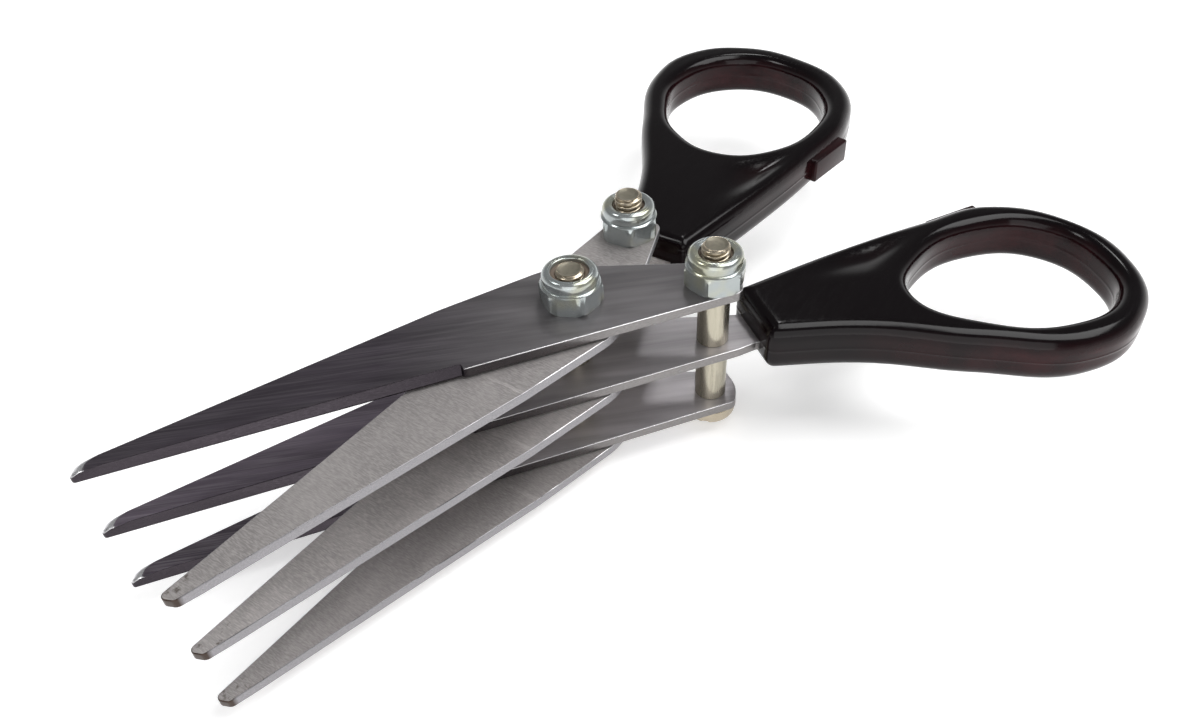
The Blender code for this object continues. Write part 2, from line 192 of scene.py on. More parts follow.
# Heights of the rings of points on a handle's wall, as shares of half its height, the rounding of the loop's
# inner edge as a share of its outer edge's, the room round a tang, and how far its pocket runs past the mouth
WALL_LEVEL_SHARES = (0.8, 0.55, 0.3, 0.06, 0.0, -0.06, -0.3, -0.55, -0.8)
HOLE_ROUND_SHARE = 0.85
POCKET_SLACK = 0.06 * MM
POCKET_OVERRUN = 6.0 * MM

# Where the hollow of a neck starts and is full: back from the start of the loop's opening, across the neck as
# shares of its inner side, in from its edge and out from the opening; how far from the opening it has gone;
# and where along the handle its outer edge's rounding turns from the neck's to the loop's
HOLLOW_BACK = (1 * MM, 12 * MM)
HOLLOW_ACROSS = (0.20, 0.58)
HOLLOW_OFF_EDGE = (0.5 * MM, 5.0 * MM)
HOLLOW_OFF_LOOP = (2.2 * MM, 6.2 * MM)
HOLLOW_GONE = (7.0 * MM, 18.0 * MM)
ROUNDING_TURN = (-9 * MM, 7 * MM)

# Profiles of a nut above its hexagon, outwards and up from the flange's edge and from the collar's wall, and
# the angle through which its rolled collar is rounded
FLANGE_PROFILE = ((0.0, 0.03 * MM), (-0.03 * MM, 0.07 * MM))
GROOVE_PROFILE = ((-0.03 * MM, 0.03 * MM), (-0.03 * MM, 0.10 * MM), (0.0, 0.16 * MM))
ROLL_END = math.pi * 0.56

# How far the rim of a nut's opening lies below its top, and the depths of the foot of the rim, the top and
# the foot of the locking ring's seat, and the start of the bore
RIM_DROP = 0.12 * MM
INNER_DEPTHS = (0.70 * MM, 0.75 * MM, 1.75 * MM, 1.80 * MM)

# How far a nut's foot lies inside its collar's radius, and the height of the land at each chamfer
FOOT_STEP = 0.05 * MM
CHAMFER_LAND = 0.02 * MM

# How far a bolt's plain shank runs up inside its thread, and the rounding of the upper rim of its head
THREAD_OVERLAP = 0.2 * MM
HEAD_RIM = 0.1 * MM

# The dish in a bolt's end, as steps inwards and down
DISH_STEPS = ((0.16 * MM, 0.12 * MM), (0.40 * MM, 0.05 * MM))

# Steps round a bolt or tube, a bolt hole and a nut, rings of points in one turn of a thread, and the part of
# a thread's wave that its flanks take
ROUND_STEPS = 72
HOLE_STEPS = 64
NUT_STEPS = 180
THREAD_RINGS = 24
FLANK_RANGE = (0.12, 0.88)

# Longest stretch of a blade's outline, steps round its corners, rings over its lower and upper edges, and
# steps along a crank
EDGE_SPACING = 1.2 * MM
CORNER_STEPS = 14
LOWER_RINGS = 4
UPPER_RINGS = 9
CRANK_STEPS = 6

# Points on each stretch of a handle's outline, and steps round the corners of its collar
CURVE_POINTS = 33
COLLAR_STEPS = 8

# How far the floor reaches from its middle and lies under the scissors, and where its glow starts and is full
FLOOR_REACH = 3.0
FLOOR_GAP = 0.05 * MM
GLOW_RANGE = (0.3, 1.0)

# The lamps: name, the property that holds its power, size, place, and what it points at
LAMPS = (
    ("key_softbox", "key", 0.36, (-0.22, 0.12, 0.47), (-0.03, 0.0, 0.0)),
    ("back_softbox", "back", 0.06, (-0.226, -0.204, 0.367), (-0.05, 0.0, 0.0)),
    ("left_softbox", "left", 0.10, (0.19, -0.18, 0.45), (0.0, 0.0, 0.0)),
    ("front_softbox", "front", 0.45, (0.27, 0.33, 0.24), (0.0, 0.0, 0.01)),
)


def length(label, text, default):
    """A length property with its name, its description and its value in metres."""
    return FloatProperty(name=label, description=text, default=default, unit="LENGTH", precision=5)


def power(label, text, default):
    """A property for a lamp's power in watts."""
    return FloatProperty(name=label, description=text, default=default, min=0.0, unit="POWER")


def colour(label, text, code):
    """A colour property, given as an sRGB hex code."""
    return FloatVectorProperty(name=label, description=text, subtype="COLOR", size=3, min=0.0, max=1.0,
                               default=linear(code))


def linear(code):
    """Linear red, green and blue of an sRGB hex code."""
    values = [int(code[index:index + 2], 16) / 255 for index in (1, 3, 5)]
    return tuple(v / 12.92 if v <= 0.04045 else ((v + 0.055) / 1.055) ** 2.4 for v in values)


class ScissorsBlades(bpy.types.PropertyGroup):
    length_a: length("Dark blade length", "From the pivot to the tip of a dark blade", 61.8 * MM)
    length_b: length("Pale blade length", "From the pivot to the tip of a pale blade", 59.9 * MM)
    width: length("Blade width", "Width of a blade at the pivot", 15.4 * MM)
    tail: length("Tail length", "From the pivot to the end of a blade's tail", 23.7 * MM)
    hole: length("Hole diameter", "Holes for the bolts", 4.0 * MM)
    link: length("Link distance", "From the pivot to the bolt behind it", 19.6 * MM)
    grind_heel: length("Grind at the heel", "How far the ground face is set back at the heel", 0.75 * MM)
    grind_tip: length("Grind at the tip", "How far the ground face is set back near the tip", 0.30 * MM)
    land: length("Edge land", "Height of the unground strip at the cutting edge", 0.25 * MM)
    edge_round: length("Edge rounding", "Rounding of the stamped edges", 0.12 * MM)
    tip_round_a: length("Dark tip rounding", "How far the end of a dark blade falls away", 0.66 * MM)
    tip_round_b: length("Pale tip rounding", "How far the end of a pale blade falls away", 0.20 * MM)
    tip_sweep: FloatProperty(name="Tip sweep", description="Length of the rounded tip over its fall",
                             default=2.2, min=0.3, max=3.0)
    tip_reach: length("Tip zone", "How far from the tip the extra rounding and polish start", 4.0 * MM)
    tang_depth: length("Tang depth", "Length of a tang inside its handle", 18.0 * MM)
    tang_front: length("Tang front width", "Width of a tang at the collar", 6.6 * MM)
    tang_end: length("Tang end width", "Width of a tang at its end", 5.0 * MM)
    crank_end: length("Crank end", "How far before its collar a tang's bend ends", 2.3 * MM)
    # The dark front and the paler rear colours carry a painted reflection: the front mirrors dark
    # surroundings, the rear brighter ones
    dark: colour("Dark steel", "Base colour of the front of the dark blades", "#524b54")
    rear: colour("Rear steel", "Base colour of the dark blades round their bolts", "#858284")
    pale: colour("Pale steel", "Base colour of the pale blades", "#959190")
    dark_edge: colour("Dark edge steel", "Base colour of the ground edge of the dark blades", "#443f44")
    rear_edge: colour("Rear edge steel", "Base colour of the sheared edge behind the notch", "#8c8988")
    pale_edge: colour("Pale edge steel", "Base colour of the edges of the pale blades", "#9b999c")
    polish: colour("Polished tip", "Base colour of the polished tips of the dark blades", "#f6f6f8")
    soiled: colour("Soiled tip", "Colour of the soiled end faces of the pale blades", "#4b413c")


class ScissorsHandles(bpy.types.PropertyGroup):
    thumb_collar: length("Thumb collar", "From the pivot to the front of the thumb handle", 25.3 * MM)
    thumb_length: length("Thumb handle length", "From its collar to its heel", 58.5 * MM)
    thumb_width: length("Thumb handle width", "Across its loop", 34.2 * MM)
    finger_collar: length("Finger collar", "From the pivot to the front of the finger handle", 28.2 * MM)
    finger_length: length("Finger handle length", "From its collar to its heel", 65.6 * MM)
    finger_width: length("Finger handle width", "Across its loop", 38.6 * MM)
    ring_round: length("Loop rounding", "Rounding of the loop's edges", 2.3 * MM)
    neck_round: length("Neck rounding", "Rounding of the neck's edges", 2.1 * MM)
    neck_dip: length("Neck dip", "How far the neck's face lies below the loop's", 1.1 * MM)
    corner_round: length("Collar corner", "Rounding of the collar's corners seen from above", 1.0 * MM)
    seam: length("Parting line", "Height of the parting line's ridge", 0.035 * MM)
    nub_distance: length("Nub distance", "From the pivot to the start of the stop nub", 60.5 * MM)
    nub_length: length("Nub length", "Length of the stop nub", 9.5 * MM)
    nub_height: length("Nub height", "Height of the stop nub", 4.0 * MM)
    nub_root: length("Nub root", "How deep the nub reaches into the handle", 4.0 * MM)
    nub_angle: FloatProperty(name="Nub face angle", description="From its handle's axis to the nub's face",
                             default=math.radians(17.4), subtype="ANGLE")
    nub_round: length("Nub rounding", "Rounding of the nub's edges", 0.35 * MM)
    plastic: colour("Handle plastic", "Base colour of the handles", "#090507")
    plastic_warm: colour("Warm handle plastic", "Colour of the sides, where light passes in", "#361619")


class ScissorsFasteners(bpy.types.PropertyGroup):
    shank: length("Shank diameter", "Plain part of a bolt", 3.4 * MM)
    thread: length("Thread diameter", "Outer diameter of a bolt's thread", 3.9 * MM)
    thread_depth: length("Thread depth", "Depth of the thread", 0.42 * MM)
    pitch: length("Thread pitch", "Rise of the thread in one turn", 0.70 * MM)
    thread_chamfer: length("Thread chamfer", "Chamfer on a bolt's end", 0.26 * MM)
    end_rim: length("End rim", "Flat rim round the dish in a bolt's end", 0.10 * MM)
    head_height: length("Head height", "Height of a bolt's head", 2.2 * MM)
    head_round: length("Head rounding", "Rounding of a bolt's head", 1.3 * MM)
    flats: length("Nut flats", "Across the flats of a nut", 7.6 * MM)
    collar: length("Nut collar", "Diameter of a nut's round collar", 8.15 * MM)
    hex_share: FloatProperty(name="Hexagon share", description="Share of a nut's height that is hexagonal",
                             default=0.60, min=0.2, max=0.9)
    chamfer: length("Corner chamfer", "Height of the chamfer on a nut's corners", 0.5 * MM)
    flange: length("Flange height", "Height of the bevelled flange under a nut's collar", 0.22 * MM)
    collar_step: length("Collar step", "How far the rolled collar lies inside the flange", 0.27 * MM)
    collar_round: length("Collar rounding", "Rounding of the nut's rolled collar", 0.85 * MM)
    lip: length("Lip opening", "Radius of the opening in the rolled collar", 2.35 * MM)
    rim_round: length("Rim rounding", "Rounding of the rim of that opening", 0.22 * MM)
    ring_seat: length("Ring seat", "Diameter of the seat of the locking ring", 5.8 * MM)
    slot_width: length("Slot width", "Width of the screwdriver slot in a head", 1.0 * MM)
    slot_depth: length("Slot depth", "Depth of the screwdriver slot in a head", 0.9 * MM)
    nut_bore: length("Nut bore", "Diameter of the bore of a nut", 4.5 * MM)
    seat: length("Seat", "How far nuts, heads and spacers close the CAD's clearance", 0.28 * MM)
    spacer_wall: length("Spacer wall", "Wall of a spacer tube", 0.25 * MM)
    ring_wall: length("Locking ring wall", "Wall of a locking ring", 0.9 * MM)
    tube_round: length("Tube edge rounding", "Rounding of the ends of spacers and locking rings", 0.08 * MM)
    zinc: colour("Zinc plate", "Base colour of the nuts", "#a9afaf")
    bolt: colour("Bolt plate", "Base colour of the bolts", "#b9ae9b")
    cut_end: colour("Cut end", "Base colour of the dished end of a bolt", "#8a8577")
    nickel: colour("Nickel plate", "Base colour of the spacers", "#b9b3a2")
    nylon: colour("Nylon", "Base colour of the locking rings", "#6f6154")


class ScissorsStage(bpy.types.PropertyGroup):
    floor: colour("Floor", "Colour of the floor", "#f4f4f4")
    fill: FloatProperty(name="Sky strength", description="Light from the sky overhead", default=0.18, min=0.0)
    key: power("Key light", "Power of the light overhead", 2.0)
    back: power("Back light", "Power of the light behind the handles", 0.12)
    left: power("Left light", "Power of the light on the left", 0.3)
    front: power("Front light", "Power of the low light on the camera's side", 1.0)
    glow: FloatProperty(name="Floor glow", description="What the camera and mirrors add to the floor's light",
                        default=0.40, min=0.0, max=1.0)


def add_node(tree, kind, inputs=(), **settings):
    """Adds a node with its settings; its inputs, in order or by name or number, are set or linked."""
    item = tree.nodes.new(kind)
    for name, value in settings.items():
        setattr(item, name, value)
    for key, value in (inputs.items() if isinstance(inputs, dict) else enumerate(inputs)):
        socket = item.inputs[key]
        if isinstance(value, bpy.types.NodeSocket):
            tree.links.new(value, socket)
        elif socket.type == "RGBA":
            socket.default_value = (*value[:3], 1.0)
        else:
            socket.default_value = value
    return item


def new_surface(name):
    """A material with its nodes cleared, and its tree."""
    material = bpy.data.materials.new(name)
    material.use_nodes = True
    material.node_tree.nodes.clear()
    return material, material.node_tree


def finish_surface(tree, shader_inputs):
    """Puts a Principled shader with the given inputs on the material's output."""
    shader = add_node(tree, "ShaderNodeBsdfPrincipled", shader_inputs)
    add_node(tree, "ShaderNodeOutputMaterial", {"Surface": shader.outputs[0]})


def grain(tree, angle, long, wide, detail=3.0, seed=0.0):
    """Noise drawn out along one direction on the plan; long and wide are the grain's real sizes."""
    spot = add_node(tree, "ShaderNodeTexCoord").outputs["Object"]
    turned = add_node(tree, "ShaderNodeMapping", {"Vector": spot, "Rotation": (0.0, 0.0, -angle)}).outputs[0]
    drawn = add_node(tree, "ShaderNodeMapping", {"Vector": turned, "Location": (seed, seed, seed),
                                                 "Scale": (1 / long, 1 / wide, 1 / wide)}).outputs[0]
    return add_node(tree, "ShaderNodeTexNoise", {"Vector": drawn, "Scale": 1.0, "Detail": detail,
                                                 "Roughness": 0.6}).outputs["Fac"]


def towards_tips(tree, angle):
    """How far a point lies from the pivot towards the tips of its set, in metres."""
    spot = add_node(tree, "ShaderNodeTexCoord").outputs["Object"]
    turned = add_node(tree, "ShaderNodeMapping", {"Vector": spot, "Rotation": (0.0, 0.0, -angle)})
    return add_node(tree, "ShaderNodeSeparateXYZ", (turned.outputs[0],)).outputs[0]


def tinted(tree, tone, tint, pattern, levels=(0.0, 1.0), shares=(0.0, 1.0)):
    """Mixes a tint into a tone by a share, which follows a pattern between two of its levels."""
    share = add_node(tree, "ShaderNodeMapRange", (pattern, *levels, *shares)).outputs[0]
    return add_node(tree, "ShaderNodeMix", {0: share, 6: tone, 7: tint}, data_type="RGBA").outputs[2]


def scaled(rgb, factor):
    """A colour made lighter or darker."""
    return tuple(min(1.0, channel * factor) for channel in rgb)


def brushed_dark_stainless(name, angle, rgb, rear, polish, reach, zone):
    """Cold-rolled stainless sheet, belt brushed lengthwise: dark streaks, cloudy patches, and a painted
    reflection that darkens the front and makes the rear paler.
    """
    material, tree = new_surface(name)

    # Belt grit leaves lines under 0.05 mm wide, drawn four times as wide so that they show
    streaks = grain(tree, angle, long=9 * MM, wide=0.22 * MM, detail=4.0)
    clouds = grain(tree, angle, long=22 * MM, wide=3.0 * MM, detail=2.0, seed=3.0)
    travel = towards_tips(tree, angle)
    tip = (reach - 0.50 * zone, reach - 0.34 * zone)
    # Painted reflection: the rear round the bolts is paler and the front darker, for the brighter and darker
    # surroundings that each mirrors
    tone = tinted(tree, rear, rgb, travel, levels=(6 * MM, 26 * MM), shares=(0.0, 1.0))
    tone = tinted(tree, tone, linear("#000000"), clouds, levels=(0.35, 0.70), shares=(0.38, 0.0))
    tone = tinted(tree, tone, scaled(rear, 1.3), streaks, levels=(0.45, 0.75), shares=(0.0, 0.22))
    tone = tinted(tree, tone, polish, travel, levels=tip, shares=(0.0, 0.62))
    rough = add_node(tree, "ShaderNodeMapRange", (streaks, 0.3, 0.7, 0.32, 0.46)).outputs[0]
    bump = add_node(tree, "ShaderNodeBump", {"Height": streaks, "Strength": 0.25, "Distance": 0.02 * MM})
    finish_surface(tree, {"Base Color": tone, "Metallic": 0.7, "Roughness": rough,
                          "Normal": bump.outputs[0]})
    return material


def ground_pale_stainless(name, angle, rgb, reach, zone):
    """Stainless sheet ground across on a wheel: fine crosswise scratches, brown soiling at the tip."""
    material, tree = new_surface(name)
    across = angle + math.radians(78)

    # The wheel's scratches are finer than this, and are drawn as coarse as they need to show
    scratches = grain(tree, across, long=2.6 * MM, wide=0.20 * MM, detail=4.0)
    fine = grain(tree, across, long=0.8 * MM, wide=0.14 * MM, detail=2.0, seed=7.0)
    clouds = grain(tree, angle, long=10 * MM, wide=5 * MM, detail=2.0, seed=5.0)
    spots = grain(tree, angle, long=1.1 * MM, wide=0.9 * MM, detail=4.0, seed=9.0)
    tone = tinted(tree, scaled(rgb, 0.84), scaled(rgb, 1.08), clouds, levels=(0.35, 0.7), shares=(0.0, 1.0))
    tone = tinted(tree, tone, scaled(rgb, 0.62), scratches, levels=(0.35, 0.68), shares=(0.0, 0.45))
    tone = tinted(tree, tone, scaled(rgb, 1.45), fine, levels=(0.42, 0.7), shares=(0.0, 0.6))
    from_tip = add_node(tree, "ShaderNodeMapRange", (towards_tips(tree, angle), reach - 2.2 * zone,
                                                     reach - 0.5 * zone, 0.30, 0.0)).outputs[0]
    soil = add_node(tree, "ShaderNodeMath", (spots, from_tip), operation="SUBTRACT").outputs[0]
    tone = tinted(tree, tone, linear("#4a4038"), soil, levels=(0.50, 0.62), shares=(0.0, 0.75))
    rough = add_node(tree, "ShaderNodeMapRange", (scratches, 0.3, 0.7, 0.46, 0.6)).outputs[0]
    bump = add_node(tree, "ShaderNodeBump", {"Height": fine, "Strength": 0.3, "Distance": 0.02 * MM})
    finish_surface(tree, {"Base Color": tone, "Metallic": 0.55, "Roughness": rough,
                          "Normal": bump.outputs[0]})
    return material


def sheared_edge_steel(name, angle, front, rear, polish, reach, zone, lifted):
    """The sheet's sheared and ground edges: lines along them, a painted highlight along the upper corner and
    a worn tip.
    """
    material, tree = new_surface(name)
    lines = grain(tree, angle, long=6 * MM, wide=0.10 * MM)
    travel = towards_tips(tree, angle)
    tone = tinted(tree, rear, front, travel, levels=(-6 * MM, 10 * MM), shares=(0.0, 0.7))
    tone = tinted(tree, tone, front, travel, levels=(14.6 * MM, 15.2 * MM), shares=(0.0, 1.0))
    tone = tinted(tree, tone, linear("#000000"), lines, levels=(0.35, 0.7), shares=(0.0, 0.22))

    # A painted highlight, near white, runs along the corner between the upper face and the edge as far as the
    # notch
    facing = add_node(tree, "ShaderNodeTexCoord").outputs["Normal"]
    upwards = add_node(tree, "ShaderNodeSeparateXYZ", (facing,)).outputs[2]
    turned_up = add_node(tree, "ShaderNodeMapRange", (upwards, 0.30, 0.50, 0.0, 1.0)).outputs[0]
    to_notch = add_node(tree, "ShaderNodeMapRange", (travel, 14.6 * MM, 15.4 * MM, 0.65, 0.0)).outputs[0]
    corner = add_node(tree, "ShaderNodeMath", (turned_up, to_notch), operation="MULTIPLY").outputs[0]
    tone = tinted(tree, tone, linear("#f9f8fa"), corner)

    # The tip is worn where it faces up by more than a level
    at_tip = add_node(tree, "ShaderNodeMapRange", (travel, reach - zone * 0.75, reach - zone * 0.45,
                                                   0.0, 1.0)).outputs[0]
    raised = add_node(tree, "ShaderNodeMapRange", (upwards, lifted, lifted + 0.35, 0.0, 1.0)).outputs[0]
    worn = add_node(tree, "ShaderNodeMath", (at_tip, raised), operation="MULTIPLY").outputs[0]
    tone = tinted(tree, tone, polish, worn)
    rough = add_node(tree, "ShaderNodeMapRange", (lines, 0.3, 0.7, 0.24, 0.38)).outputs[0]
    finish_surface(tree, {"Base Color": tone, "Metallic": 1.0, "Roughness": rough})
    return material


def plated_metal(name, rgb, tint, roughness, patch, metallic, marked):
    """Bright electroplated steel: smooth, with soft patches where the plate is thin, and faint marks."""
    material, tree = new_surface(name)
    patches = grain(tree, 0.0, long=patch, wide=patch, detail=1.0)
    marks = grain(tree, 0.0, long=0.9 * MM, wide=0.6 * MM, detail=2.0, seed=4.0)
    tone = tinted(tree, rgb, tint, patches, levels=(0.45, 0.75), shares=(0.0, 0.6))
    tone = tinted(tree, tone, scaled(rgb, 0.5), marks, levels=(0.55, 0.75), shares=(0.0, marked))
    rough = add_node(tree, "ShaderNodeMapRange", (marks, 0.35, 0.7, roughness, roughness + 0.06)).outputs[0]
    bump = add_node(tree, "ShaderNodeBump", {"Height": marks, "Strength": marked * 0.1,
                                             "Distance": 0.03 * MM})
    finish_surface(tree, {"Base Color": tone, "Metallic": metallic, "Roughness": rough,
                          "Normal": bump.outputs[0]})
    return material


def drawn_tube_nickel(name, rgb):
    """Drawn tube, nickel plated: bright, with faint lines along the tube."""
    material, tree = new_surface(name)
    spot = add_node(tree, "ShaderNodeTexCoord").outputs["Object"]
    line_width, line_length = 0.5 * MM, 6 * MM
    drawn = add_node(tree, "ShaderNodeMapping", {
        "Vector": spot, "Scale": (1 / line_width, 1 / line_width, 1 / line_length)}).outputs[0]
    lines = add_node(tree, "ShaderNodeTexNoise", {"Vector": drawn, "Scale": 1.0,
                                                  "Detail": 3.0}).outputs["Fac"]
    tone = tinted(tree, rgb, scaled(rgb, 0.7), lines, levels=(0.4, 0.7), shares=(0.0, 0.7))
    rough = add_node(tree, "ShaderNodeMapRange", (lines, 0.3, 0.7, 0.20, 0.30)).outputs[0]
    finish_surface(tree, {"Base Color": tone, "Metallic": 0.9, "Roughness": rough})
    return material


def natural_nylon(name, rgb):
    """Moulded natural nylon: dull brownish grey with darker specks."""
    material, tree = new_surface(name)
    specks = grain(tree, 0.0, long=0.6 * MM, wide=0.6 * MM)
    tone = tinted(tree, rgb, scaled(rgb, 0.8), specks, levels=(0.4, 0.7), shares=(0.0, 0.5))
    finish_surface(tree, {"Base Color": tone, "Roughness": 0.45, "IOR": 1.53})
    return material


def glossy_handle_plastic(name, rgb, warm, middle, half):
    """Injection-moulded polystyrene, polished: black from above, burgundy where light gets into its sides."""
    material, tree = new_surface(name)
    spot = add_node(tree, "ShaderNodeTexCoord").outputs["Object"]
    flow = grain(tree, 0.0, long=14 * MM, wide=5 * MM)
    rubs = grain(tree, 0.4, long=3.0 * MM, wide=0.25 * MM, seed=6.0)
    ripples = grain(tree, 0.0, long=4 * MM, wide=3 * MM, detail=1.0, seed=2.0)

    # Light gets in at half height, more so round the loops than on the thick necks, and unevenly
    height = add_node(tree, "ShaderNodeSeparateXYZ", (spot,)).outputs[2]
    above = add_node(tree, "ShaderNodeMath", (height, middle), operation="SUBTRACT").outputs[0]
    away = add_node(tree, "ShaderNodeMath", (above,), operation="ABSOLUTE").outputs[0]
    waist = add_node(tree, "ShaderNodeMapRange", (away, half * 0.35, half * 0.92, 1.0, 0.0)).outputs[0]
    flat = add_node(tree, "ShaderNodeVectorMath", (spot, (1.0, 1.0, 0.0)), operation="MULTIPLY").outputs[0]
    reach = add_node(tree, "ShaderNodeVectorMath", (flat,), operation="LENGTH").outputs["Value"]
    thin = add_node(tree, "ShaderNodeMapRange", (reach, 36 * MM, 64 * MM, 0.15, 1.0)).outputs[0]
    uneven = add_node(tree, "ShaderNodeMapRange", (flow, 0.35, 0.7, 0.25, 1.0)).outputs[0]
    thin_waist = add_node(tree, "ShaderNodeMath", (waist, thin), operation="MULTIPLY").outputs[0]
    lit = add_node(tree, "ShaderNodeMath", (thin_waist, uneven), operation="MULTIPLY").outputs[0]
    tone = tinted(tree, rgb, warm, lit)
    rough = add_node(tree, "ShaderNodeMapRange", (rubs, 0.4, 0.75, 0.12, 0.22)).outputs[0]
    bump = add_node(tree, "ShaderNodeBump", {"Height": ripples, "Strength": 0.10, "Distance": 0.06 * MM})
    finish_surface(tree, {"Base Color": tone, "Roughness": rough, "IOR": 1.5, "Specular IOR Level": 0.21,
                          "Normal": bump.outputs[0]})
    return material


def arc(centre, radius, start, end, steps):
    """Points of an arc from one angle to another, both ends included."""
    points = []
    for step in range(steps + 1):
        angle = start + (end - start) * step / steps
        points.append((centre[0] + radius * math.cos(angle), centre[1] + radius * math.sin(angle)))
    return points


def filleted(corners, steps):
    """A closed outline from corners (u, v, radius), each rounded by an arc of its radius."""
    outline = []
    for index, (u, v, radius) in enumerate(corners):
        corner = Vector((u, v))
        before = Vector(corners[index - 1][:2]) - corner
        after = Vector(corners[(index + 1) % len(corners)][:2]) - corner
        half = before.angle(after) / 2
        if radius == 0 or half == 0:
            outline.append((u, v))
            continue
        tangent = min(radius / math.tan(half), before.length / 2, after.length / 2)
        true_radius = tangent * math.tan(half)
        bisector = (before.normalized() + after.normalized()).normalized()
        centre = corner + bisector * true_radius / math.sin(half)
        start = corner + before.normalized() * tangent - centre
        end = corner + after.normalized() * tangent - centre
        first = math.atan2(start.y, start.x)
        turn = (math.atan2(end.y, end.x) - first + math.pi) % math.tau - math.pi
        outline.extend(arc(centre, true_radius, first, first + turn, steps))
    return outline


def new_object(name, mesh, *materials):
    """An object of a mesh, in the scene's collection, with its materials."""
    item = bpy.data.objects.new(name, mesh)
    bpy.context.collection.objects.link(item)
    for material in materials:
        mesh.materials.append(material)
    return item


def from_bmesh(name, form, *materials):
    """An object of an editing mesh, which is freed."""
    mesh = bpy.data.meshes.new(name)
    form.to_mesh(mesh)
    form.free()
    return new_object(name, mesh, *materials)


def settle(item):
    """Turns an object with modifiers into one with a plain mesh of the same name."""
    bpy.context.view_layer.update()
    evaluated = item.evaluated_get(bpy.context.evaluated_depsgraph_get())
    mesh = bpy.data.meshes.new_from_object(evaluated)
    item.modifiers.clear()
    item.data = mesh
    return item


def place(item, matrix):
    """Puts an object's place in its mesh, and keeps its faces pointing outwards."""
    item.data.transform(matrix)
    if matrix.determinant() < 0:
        item.data.flip_normals()
    item.data.update()


def carve(item, cutter, operation="DIFFERENCE"):
    """Applies a Boolean with another object, and removes that object."""
    modifier = item.modifiers.new("carve", "BOOLEAN")
    modifier.operation = operation
    modifier.solver = "EXACT"
    modifier.object = cutter
    settle(item)
    bpy.data.objects.remove(cutter, do_unlink=True)


def smooth(item, angle=30.0, weighted=True):
    """Smooth shading with sharp edges past an angle; weighted normals keep the wide faces flat."""
    item.data.shade_smooth()
    item.data.set_sharp_from_angle(angle=math.radians(angle))
    if weighted:
        modifier = item.modifiers.new("weights", "WEIGHTED_NORMAL")
        modifier.keep_sharp = True
        settle(item)


def turned_mesh(profile, steps):
    """An editing mesh turned round Z from a profile of (radius, height) that starts and ends on the axis."""
    form = bmesh.new()
    rings = []
    for radius, height in profile:
        if radius == 0:
            rings.append([form.verts.new((0, 0, height))])
            continue
        rings.append([form.verts.new((radius * math.cos(math.tau * step / steps),
                                      radius * math.sin(math.tau * step / steps), height))
                      for step in range(steps)])
    for upper, lower in zip(rings, rings[1:]):
        for step in range(steps):
            after = (step + 1) % steps
            corners = [upper[step % len(upper)], lower[step % len(lower)],
                       lower[after % len(lower)], upper[after % len(upper)]]
            distinct = list(dict.fromkeys(corners))
            form.faces.new(distinct)
    bmesh.ops.recalc_face_normals(form, faces=form.faces)
    return form


def set_frame(letter):
    """Placement of a set's flat frame: u to the tips, v to the cutting edge."""
    return Matrix.Rotation(SETS[letter].angle, 4, "Z") @ Matrix.Diagonal((1, SETS[letter].side, 1, 1))


def set_axis(letter):
    """Placement of a set's bolts and nuts, which are turned with the set but not mirrored."""
    return Matrix.Rotation(SETS[letter].angle, 4, "Z")


def dress(item, letter, slot, *nodes):
    """Lets a finished piece ride on its set and stand for its nodes."""
    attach(item, SETS[letter].body)
    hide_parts(*nodes)


def tang_outline(sizes, collar, grow=0.0):
    """Corners of a tang from its shoulder to its end, widened all round by a clearance."""
    end = -collar - sizes.tang_depth - grow
    front_v = TANG_FRONT_SHARE * sizes.width
    end_v = TANG_END_SHARE * sizes.width
    front_half = sizes.tang_front / 2 + grow
    end_half = sizes.tang_end / 2 + grow
    return ((-collar, front_v - front_half), (end, end_v - end_half),
            (end, end_v + end_half), (-collar, front_v + front_half))


def blade_corners(sizes, letter, reach, collar):
    """Corners of a blade's outline in its set's flat frame; the first two bound the cutting edge."""
    def corners(shares, size):
        return [(u * size, v * sizes.width, r * sizes.width) for u, v, r in shares]

    front = corners(BLADE_FRONT_SHARES, reach)
    if letter == "a":
        front[1:3] = corners(DARK_TIP_SHARES, reach)
    heel = corners(BLADE_HEEL_SHARES, reach)
    if collar is None:
        return front + corners(BLADE_TAIL_SHARES, sizes.tail) + heel
    tang = [(u, v, sizes.tang_end / 4) for u, v in tang_outline(sizes, collar)]
    return front + tang + corners(BLADE_SHOULDER_SHARES, sizes.tail) + heel


def divided(outline, longest):
    """An outline with points added so that no stretch is longer than a length."""
    result = []
    for first, second in zip(outline, outline[1:] + outline[:1]):
        parts = max(1, math.ceil(math.dist(first, second) / longest))
        for part in range(parts):
            share = part / parts
            result.append(tuple(start + (end - start) * share for start, end in zip(first, second)))
    return result


